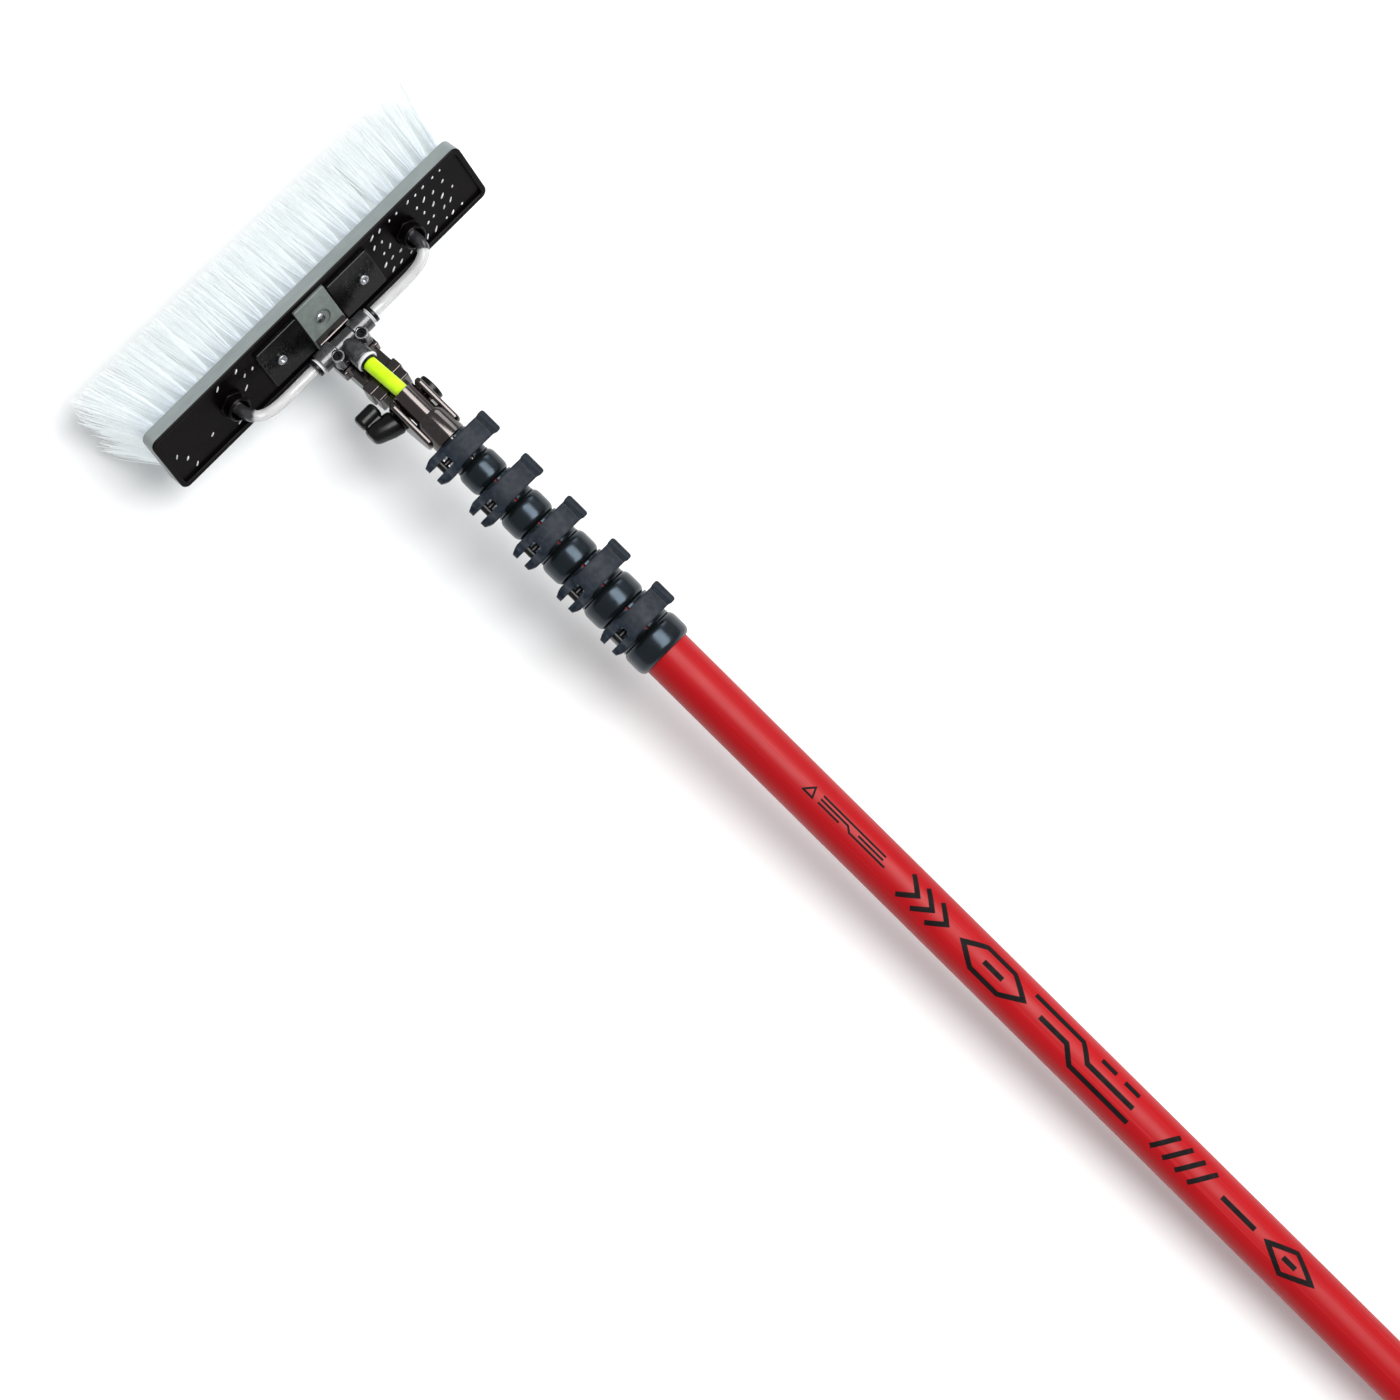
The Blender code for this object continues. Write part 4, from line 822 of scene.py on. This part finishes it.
def add_neck_socket():
    """Barrel round the top section, with the two cheeks that hold the pivot bolt."""
    edge = 0.0010
    bore = section_radius(SECTIONS) + GAP
    barrel = [(SOCKET_START_X, bore)]
    barrel += arc(SOCKET_START_X + edge, SOCKET_RADIUS - edge, edge, 180, 90, 6)
    barrel += [(SOCKET_END_X - 0.004, SOCKET_RADIUS - 0.0006),
               (SOCKET_END_X, SOCKET_RADIUS - 0.0026), (SOCKET_END_X, bore)]
    socket = turned("neck_socket_shell", barrel)
    top_corner = 0.004
    heel_corner = 0.005
    outline = arc(PIVOT_PLACE.x, PIVOT_PLACE.z, CHEEK_EYE_RADIUS, -118, -8, 40)
    outline += arc(CHEEK_END_X - top_corner, CHEEK_TOP_Z - top_corner, top_corner, 0, 90, 12)
    outline += arc(CHEEK_START_X + heel_corner, CHEEK_TOP_Z - heel_corner, heel_corner, 90, 180, 12)
    outline += [(CHEEK_START_X, -0.008), (CHEEK_START_X + 0.004, -0.0115)]
    for side in (1, -1):
        low, high = sorted((side * CHEEK_INNER_Y, side * CHEEK_OUTER_Y))
        join(socket, bevel(extruded("cheek", outline, low, high, "Y"), 0.0019, 6))
    hole = rod(-CHEEK_OUTER_Y - PAST, CHEEK_OUTER_Y + PAST, BOLT_RADIUS + GAP, "Y", PIVOT_PLACE)
    cut(socket, hole)
    replace("neck_socket", socket, POLE)


def add_pivot():
    """Bolt with its round cap, and the clamp knob with a leaning hub and a lobe beside it."""
    seat = -CHEEK_OUTER_Y - GAP
    face = seat - BOLT_CAP_HEIGHT
    dish = BOLT_CAP_RADIUS * 0.55
    dish_y = face + 0.0008
    bolt = turned("pivot_bolt_shell", [
        (dish_y, 0.0), (dish_y, dish), (face, dish + 0.0010), (face, BOLT_CAP_RADIUS),
        (seat, BOLT_CAP_RADIUS), (seat, BOLT_RADIUS), (BOLT_END_Y, BOLT_RADIUS),
        (BOLT_END_Y, 0.0)], "Y")
    at_pivot = POLE @ Matrix.Translation(PIVOT_PLACE)
    replace("pivot_bolt", bevel(bolt, 0.0009, 4), at_pivot)
    bm = bmesh.new()
    rings = []
    for share, radius in KNOB_HUB_RADII:
        lean = KNOB_LEAN * ramp(share, 0.0, 0.9)
        y = KNOB_START_Y + (KNOB_END_Y - KNOB_START_Y) * share
        rings.append([bm.verts.new((lean + radius * math.cos(a), y, radius * math.sin(a)))
                      for a in angles_round(ROUND)])
    for lower, upper in zip(rings, rings[1:]):
        skin(bm, lower, upper)
    bm.faces.new(rings[0])
    bm.faces.new(rings[-1])
    knob = mesh_object("pivot_knob_shell", bm)
    lobe = turned("lobe", [(KNOB_LOBE_START_Y, 0.0), (KNOB_LOBE_START_Y, KNOB_LOBE_RADIUS),
                           (KNOB_LOBE_END_Y, KNOB_LOBE_RADIUS), (KNOB_LOBE_END_Y, 0.0)],
                  "Y", (KNOB_LOBE_X, 0.0, 0.0))
    join(knob, bevel(lobe, 0.0030, 8))
    inset = 0.0021
    web = block("web", (KNOB_LEAN, KNOB_LOBE_START_Y + inset, -KNOB_WEB_HALF),
                (KNOB_LOBE_X, KNOB_LOBE_END_Y - inset, KNOB_WEB_HALF))
    join(knob, bevel(web, 0.0015, 5))
    hole = rod(KNOB_START_Y - PAST, BOLT_END_Y + 2.0 * GAP, BOLT_RADIUS + GAP, "Y")
    cut(knob, hole)
    replace("pivot_knob", knob, at_pivot @ Matrix.Rotation(KNOB_TILT, 4, "Y"))


def add_neck_arm():
    """Arm with a tongue between the cheeks, two bands, wings for the tee, and a foot."""
    to_pivot = PIVOT.inverted() @ BRUSH
    foot = [to_pivot @ Vector((x, 0.0, z)) for x, z in ARM_FOOT]
    outline = [(ARM_START, -ARM_HALF_DEPTH), (ARM_START, ARM_HALF_DEPTH)]
    outline += arc(TEE_X, TEE_Z, ARM_SADDLE_RADIUS, -90, 4, 36)
    outline += [(point.x, point.z) for point in foot]
    arm = extruded("neck_arm_shell", outline, -ARM_HALF_WIDTH, ARM_HALF_WIDTH, "Y")
    bevel(arm, 0.0020, 6)
    wing_x = TEE_X + TEE_SCREW_X
    for start, end, half_width, bottom, top, edge in (
            (ARM_START + 0.007, ARM_START + 0.016, 0.0155, -0.0092, 0.0092, 0.0012),
            (ARM_START - 0.001, ARM_START + 0.008, 0.0142, -0.0084, 0.0084, 0.0010),
            (wing_x - 0.0075, wing_x + 0.0065, 0.0168, -0.0030, ARM_HALF_DEPTH - 0.0004, 0.0014)):
        band = block("band", (start, -half_width, bottom), (end, half_width, top))
        join(arm, bevel(band, edge, 4))
    root_x = ARM_START + 0.004
    eye = arc(0.0, 0.0, TONGUE_RADIUS, 90, 270, 40)
    eye += [(root_x, -TONGUE_RADIUS), (root_x, TONGUE_RADIUS)]
    join(arm, extruded("tongue", eye, -TONGUE_HALF_WIDTH, TONGUE_HALF_WIDTH, "Y"))
    reach = TONGUE_HALF_WIDTH + PAST
    cut(arm, rod(-reach, reach, BOLT_RADIUS + GAP, "Y"))
    for side in (1, -1):
        centre = (wing_x, side * TEE_SCREW_Y, 0.0)
        hole = rod(-PAST, ARM_HALF_DEPTH + PAST, TEE_SCREW_HOLE, "Z", centre)
        cut(arm, hole)
    replace("neck_arm", arm, PIVOT)


def add_tee():
    """Push-in tee: run across the arm, stem along it, and two screw bosses between them."""
    waist = RUN_WAIST_HALF
    tee = turned("tee_body_shell", [
        (-RUN_HALF, 0.0), (-RUN_HALF, RUN_RADIUS), (-waist, RUN_RADIUS),
        (-waist, RUN_WAIST_RADIUS), (waist, RUN_WAIST_RADIUS), (waist, RUN_RADIUS),
        (RUN_HALF, RUN_RADIUS), (RUN_HALF, 0.0)], "Y")
    bevel(tee, 0.0007, 4)
    stem = turned("stem", [(-STEM_LENGTH, 0.0), (-STEM_LENGTH, STEM_RADIUS),
                           (-0.0085, STEM_RADIUS - 0.0003), (-0.0020, 0.0052), (-0.0020, 0.0)])
    join(tee, bevel(stem, 0.0007, 4))
    bottom = -STEM_RADIUS
    web_half = TEE_SCREW_Y + 0.0035
    web = block("web", (TEE_SCREW_X - 0.0046, -web_half, bottom), (0.0, web_half, bottom + 0.0050))
    join(tee, bevel(web, 0.0006))
    centres = [(TEE_SCREW_X, side * TEE_SCREW_Y, 0.0) for side in (1, -1)]
    for centre in centres:
        boss = rod(bottom, TEE_BOSS_TOP, TEE_BOSS_RADIUS, "Z", centre)
        join(tee, bevel(boss, 0.0004))
    for side, centre in zip((1, -1), centres):
        low, high = sorted((side * RUN_SOCKET_Y, side * (RUN_HALF + PAST)))
        cut(tee, rod(0.0002, TEE_BOSS_TOP + PAST, TEE_SCREW_HEAD_HOLE, "Z", centre),
            rod(bottom - PAST, TEE_BOSS_TOP, TEE_SCREW_HOLE, "Z", centre),
            rod(low, high, RUN_SOCKET_RADIUS, "Y"))
    mouth = rod(-STEM_LENGTH - PAST, -STEM_LENGTH + STEM_SOCKET_DEPTH, STEM_SOCKET_RADIUS)
    cut(tee, mouth)
    at_tee = PIVOT @ Matrix.Translation((TEE_X, 0.0, TEE_Z))
    replace("tee_body", tee, at_tee)
    low = TEE_BOSS_TOP - SINK
    high = TEE_BOSS_TOP + 0.0003
    hole = 0.0037
    rim = TEE_BOSS_RADIUS + 0.0001
    for name, centre in zip(("left_boss_washer", "right_boss_washer"), centres):
        washer = turned(name, [(low, hole), (high, hole), (high, rim), (low, rim)], "Z", centre)
        shown(bevel(washer, 0.0001), "head", "bright_steel", matrix=at_tee)


# Hoses

def add_feed_hose():
    """Feed hose from the top section's mouth to the tee, bending across the neck."""
    mouth_x = extent("section_6_tube", POLE)[1].x
    low = extent("feed_hose", POLE)[0]
    sleeve = PIVOT @ Vector((TEE_LOW.x - 0.0045, 0.0, TEE_Z))
    end = PIVOT @ Vector((TEE_LOW.x + 0.0118, 0.0, TEE_Z))
    along = PIVOT.to_3x3() @ ALONG
    start = POLE @ Vector((low.x, 0.0, 0.0))
    mouth = POLE @ Vector((mouth_x - 0.008, 0.0, -0.0004))
    pole_along = POLE.to_3x3() @ ALONG
    path = [start.lerp(mouth, i / 8) for i in range(8)]
    path += bezier(mouth, mouth + pole_along * 0.014, sleeve - along * 0.012, sleeve, 36)
    path += [sleeve.lerp(end, i / 6) for i in range(1, 7)]
    obj = hose("feed_hose_shell", path, FEED_RADIUS, FEED_BORE)
    obj.data.materials.append(MATERIALS["hose_yellow_green"])
    obj.data.shade_smooth()
    obj.data.set_sharp_from_angle(angle=SHARP_ANGLE)
    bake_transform(obj)
    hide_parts("feed_hose")


def add_rinse_tubes():
    """Clear tubes from the tee's ends to the jets, with dark sleeves on their lower ends."""
    for name, side in (("left_rinse_tube", 1), ("right_rinse_tube", -1)):
        fitting_low, fitting_high = extent(name.replace("rinse_tube", "jet_fitting"), BRUSH)
        jet_y = (fitting_low.y + fitting_high.y) / 2.0
        across = Vector((0.0, side, 0.0))
        jet = BRUSH @ Vector((0.0, jet_y, 0.0))
        top = jet + OUT * 0.0060
        port = PIVOT @ Vector((TEE_X, side * 0.0290, TEE_Z))
        path = [jet + OUT * -0.0030, jet + OUT * 0.0015]
        path += bezier(top, top + OUT * 0.030, port + across * 0.040, port, 48)
        path += [port - across * 0.006, port - across * 0.0115]
        replace(name, hose(name + "_shell", path, RINSE_RADIUS, RINSE_BORE))
        sleeve = hose(name.replace("rinse_tube", "jet_sleeve"), path[2:15],
                      RINSE_RADIUS + 0.0005, RINSE_RADIUS + 0.0001)
        shown(sleeve, "head", "tee_plastic")


def add_dark_bands():
    """Dark rings beyond the tee's three release rings: partly the rings' own dark ends, partly painted shade in
    the gap between each ring and its hose.
    """
    stem_x = extent("stem_collet", PIVOT)[0].x
    left_low, left_high = extent("left_collet", PIVOT)
    right_y = extent("right_collet", PIVOT)[0].y
    stem = FEED_RADIUS + GAP
    side = RINSE_RADIUS + GAP
    band_radius = (left_high.z - left_low.z) / 2.0 + 0.0002
    length = 0.0018
    cover = 0.0009               # how far the side dark rings reach over their release rings
    for name, body, start, out, axis, bore, radius, over in (
            ("stem_dark_band", "stem_ring", stem_x, -1.0, "X", stem, stem + 0.0013, 0.0),
            ("left_dark_band", "left_ring", left_high.y, 1.0, "Y", side, band_radius, cover),
            ("right_dark_band", "right_ring", right_y, -1.0, "Y", side, band_radius, cover)):
        low, high = sorted((start - out * (over + SINK), start + out * length))
        profile = [(low, bore), (low, radius), (high, radius), (high, bore)]
        centre = (0.0, 0.0, TEE_Z) if axis == "X" else (TEE_X, 0.0, TEE_Z)
        ring = bevel(turned(name, profile, axis, centre), 0.0004)
        shown(ring, body, "black_plastic", matrix=PIVOT)


# Brush

def jet_places(part):
    """Where the two jets' nozzles or fittings are on the stock."""
    corners = [extent(f"{side}_jet_{part}", BRUSH) for side in ("left", "right")]
    return [(low + high).xy / 2.0 for low, high in corners]


def jitter(reach):
    """A random offset of up to reach either way."""
    return random.uniform(-reach, reach)


def add_bristles():
    """Rows of splayed tufts, each a bundle of tapering filaments."""
    jets = jet_places("nozzle")
    length = STOCK_LOW.z - TIPS_LOW.z
    half_y = STOCK_HIGH.y - 0.0065
    half_x = STOCK_HIGH.x - 0.0062
    tip_half_x = TIPS_HIGH.x - 0.0020
    tip_half_y = TIPS_HIGH.y - 0.0025
    for row in range(TUFT_ROWS):
        row_share = 2.0 * row / (TUFT_ROWS - 1) - 1.0
        points = []
        faces = []
        shift = 0.11 if row % 2 else -0.11
        for tuft in range(TUFTS_PER_ROW):
            share = 2.0 * (tuft + 0.5 + shift) / TUFTS_PER_ROW - 1.0
            root = Vector((row_share * half_x, share * half_y, 0.0))
            if any((root.xy - jet).length < JET_CLEARANCE for jet in jets):
                continue
            tip = Vector((row_share * tip_half_x + jitter(0.0012),
                          root.y + (tip_half_y - half_y) * share * abs(share) ** END_CURVE
                          + jitter(0.0016), 0.0))
            add_tuft(points, faces, root, tip, length)
        mesh = bpy.data.meshes.new(f"bristle_row_{row + 1}")
        mesh.from_pydata(points, [], faces)
        shown(linked(mesh.name, mesh), "head", "bristle_white", sharp=SHARP_DETAIL, matrix=BRUSH,
              replaces=("bristle_pack",) if row == 0 else ())


def add_tuft(points, faces, root, tip, length):
    """One tuft: filaments that leave a hole together and part towards their tips."""
    facets = 3
    for _ in range(FILAMENTS):
        angle = random.uniform(0.0, math.tau)
        reach = math.sqrt(random.random())
        spoke = Vector((math.cos(angle), math.sin(angle), 0.0))
        stray = Vector((random.gauss(0.0, 0.0007), random.gauss(0.0, 0.0007), 0.0))
        bend = random.uniform(0.75, 1.25)
        height = length + SINK - abs(random.gauss(0.0, 0.0009))
        front = TIPS_HIGH.x + random.uniform(-0.0020, 0.0030)
        rear = TIPS_HIGH.x - random.uniform(0.0004, 0.0030)
        side = TIPS_HIGH.y + random.uniform(-0.003, 0.004)
        first = len(points)
        for step in range(FILAMENT_STEPS + 1):
            t = step / FILAMENT_STEPS
            spread_out = TUFT_RADIUS * (1.0 - t) + TUFT_TIP_RADIUS * t ** bend
            centre = root.lerp(tip, t) + spoke * reach * spread_out
            centre += stray * t * t
            centre.x = min(max(centre.x, -rear), front)
            centre.y = min(max(centre.y, -side), side)
            centre.z = STOCK_LOW.z + SINK - height * t
            thick = FILAMENT_RADIUS * (1.0 - 0.35 * t)
            for k in range(facets):
                turn = angle + math.tau * k / facets
                points.append((centre.x + thick * math.cos(turn),
                               centre.y + thick * math.sin(turn), centre.z))
        for step in range(FILAMENT_STEPS):
            low = first + step * facets
            for k in range(facets):
                after = (k + 1) % facets
                faces.append((low + k, low + facets + k, low + facets + after, low + after))
        faces.append(tuple(first + k for k in range(facets)))
        last = first + FILAMENT_STEPS * facets
        faces.append(tuple(last + k for k in reversed(range(facets))))


def add_staples():
    """Slanted staple ends in the tray's floor, in staggered rows."""
    keep_out = []
    for node, room in (("left_mount_pad", 0.004), ("right_mount_pad", 0.004),
                       ("saddle_block", 0.003)):
        low, high = extent(node, BRUSH)
        keep_out.append((low.y - room, high.y + room))
    jets = jet_places("fitting")
    floor = extent("saddle_block", BRUSH)[0].z - SINK
    half_x = 0.0185
    half_y = STOCK_HIGH.y - 0.011
    bare_end = 0.008
    left_out = 0.7               # share of the staples that don't show on the left half
    bm = bmesh.new()
    for row in range(STAPLE_ROWS):
        x = half_x * (2.0 * row / (STAPLE_ROWS - 1) - 1.0)
        for i in range(int(2.0 * half_y / STAPLE_PITCH) + 1):
            y = -half_y + STAPLE_PITCH * (i + (0.5 if row % 2 else 0.0))
            spot = Vector((x + jitter(0.0008), y + jitter(0.0015)))
            if not bare_end - half_y <= y <= half_y:
                continue
            if any(low < y < high for low, high in keep_out):
                continue
            if any((spot - jet).length < STAPLE_CLEARANCE for jet in jets):
                continue
            if y > 0.0 and random.random() < left_out:
                continue
            size = (0.00055, random.uniform(0.0010, 0.0028), random.uniform(0.0007, 0.0011))
            turn = Matrix.Rotation(math.radians(random.uniform(24.0, 44.0)), 4, "Z")
            tip = Matrix.Rotation(math.radians(random.uniform(-10.0, 16.0)), 4, "X")
            place = Matrix.Translation((*spot, floor)) @ turn @ tip @ Matrix.Diagonal((*size, 1.0))
            bmesh.ops.create_uvsphere(bm, u_segments=16, v_segments=10, radius=1.0, matrix=place)
    shown(mesh_object("tray_staples", bm), "head", "bright_steel", STAPLE_GLINT, sharp=SHARP_DETAIL,
          matrix=BRUSH)


# Small parts that keep the CAD shape, with rounded edges

REFINED = ["base_end_cap", "stem_collet", "left_tee_screw", "right_tee_screw", "left_jet_fitting",
           "right_jet_fitting", "left_jet_nozzle", "right_jet_nozzle", "brush_stock", "stock_tray",
           "left_mount_pad", "right_mount_pad", "left_pad_screw", "right_pad_screw", "saddle_block",
           "saddle_rivet"]
REFINED += [f"clamp_{index}_{part}" for index in range(1, SECTIONS)
            for part in ("barrel_pin", "tension_screw")]


def build():
    """Make every piece."""
    add_tube("base_tube")
    for index in range(2, SECTIONS + 1):
        add_tube(f"section_{index}_tube")
    for index in range(1, SECTIONS):
        add_collar(index)
    add_levers()
    add_graphic()
    add_neck_socket()
    add_pivot()
    add_neck_arm()
    add_tee()
    add_feed_hose()
    add_rinse_tubes()
    add_bristles()
    add_staples()
    add_dark_bands()
    for node in REFINED:
        replace(node, refined(node))
    for node in ("left_collet", "right_collet"):
        shown(refined(node), BODIES[node], "collet_white", replaces=(node,))


build()


# Stage, lights and camera

CAMERA_TURN = math.radians(8.0)      # the camera stands this far round the pole, towards the knob
CAMERA_ROLL = math.radians(45.3)
CAMERA_DISTANCE = 4.0
LIGHT_DISTANCE = 3.0
FRAME_WIDTH = 0.966                  # what the picture spans at the pole
TARGET = POLE @ Vector((-0.039, 0.007, 0.0))


def add_camera():
    """Camera over the pole at the photograph's angle. Returns the picture's right, up and back."""
    turn = POLE.to_3x3()
    along = turn @ ALONG
    back = turn @ Vector((0.0, math.sin(CAMERA_TURN), math.cos(CAMERA_TURN)))
    across = (-back).cross(along)
    right = across * math.cos(CAMERA_ROLL) - along * math.sin(CAMERA_ROLL)
    up = along * math.cos(CAMERA_ROLL) + across * math.sin(CAMERA_ROLL)
    data = bpy.data.cameras.new("camera")
    data.lens = CAMERA_DISTANCE * data.sensor_width / FRAME_WIDTH
    data.clip_end = 100.0
    camera = linked("camera", data)
    matrix = Matrix((right, up, back)).transposed().to_4x4()
    matrix.translation = TARGET + back * CAMERA_DISTANCE
    camera.matrix_world = matrix
    bpy.context.scene.camera = camera
    return right, up, back


def add_light(name, direction, size, power, colour):
    """Soft square light that faces the middle of the picture."""
    data = bpy.data.lights.new(name, "AREA")
    data.shape = "SQUARE"
    data.size = size
    data.energy = power
    data.color = colour
    light = linked(name, data)
    light.visible_camera = False
    direction = direction.normalized()
    light.location = TARGET + direction * LIGHT_DISTANCE
    light.rotation_mode = "QUATERNION"
    light.rotation_quaternion = direction.to_track_quat("Z", "Y")


def add_stage():
    """Pale floor, soft lights and a pale world."""
    right, up, back = add_camera()
    bm = bmesh.new()
    bmesh.ops.create_grid(bm, x_segments=8, y_segments=8, size=30.0)
    floor = mesh_object("floor", bm)
    paper = surface("floor_paper", (238, 239, 240), (243, 243, 243), (0.6, 0.75), mottle=0.4,
                    grain=0.004, depth=0.00002, Specular_IOR_Level=0.2)
    floor.data.materials.append(paper)
    add_light("key", back + (right + up * 0.8) * 0.34, 1.9, 112.0, (1.0, 0.995, 0.985))
    add_light("rim", back * 0.35 + right * 0.4 + up, 1.2, 18.0, (0.95, 0.98, 1.0))
    world = bpy.data.worlds.new("studio")
    world.use_nodes = True
    bpy.context.scene.world = world
    background = world.node_tree.nodes["Background"]
    background.inputs["Color"].default_value = (0.97, 0.985, 1.0, 1.0)
    background.inputs["Strength"].default_value = 0.42
    bpy.context.scene.view_settings.view_transform = "Standard"


add_stage()
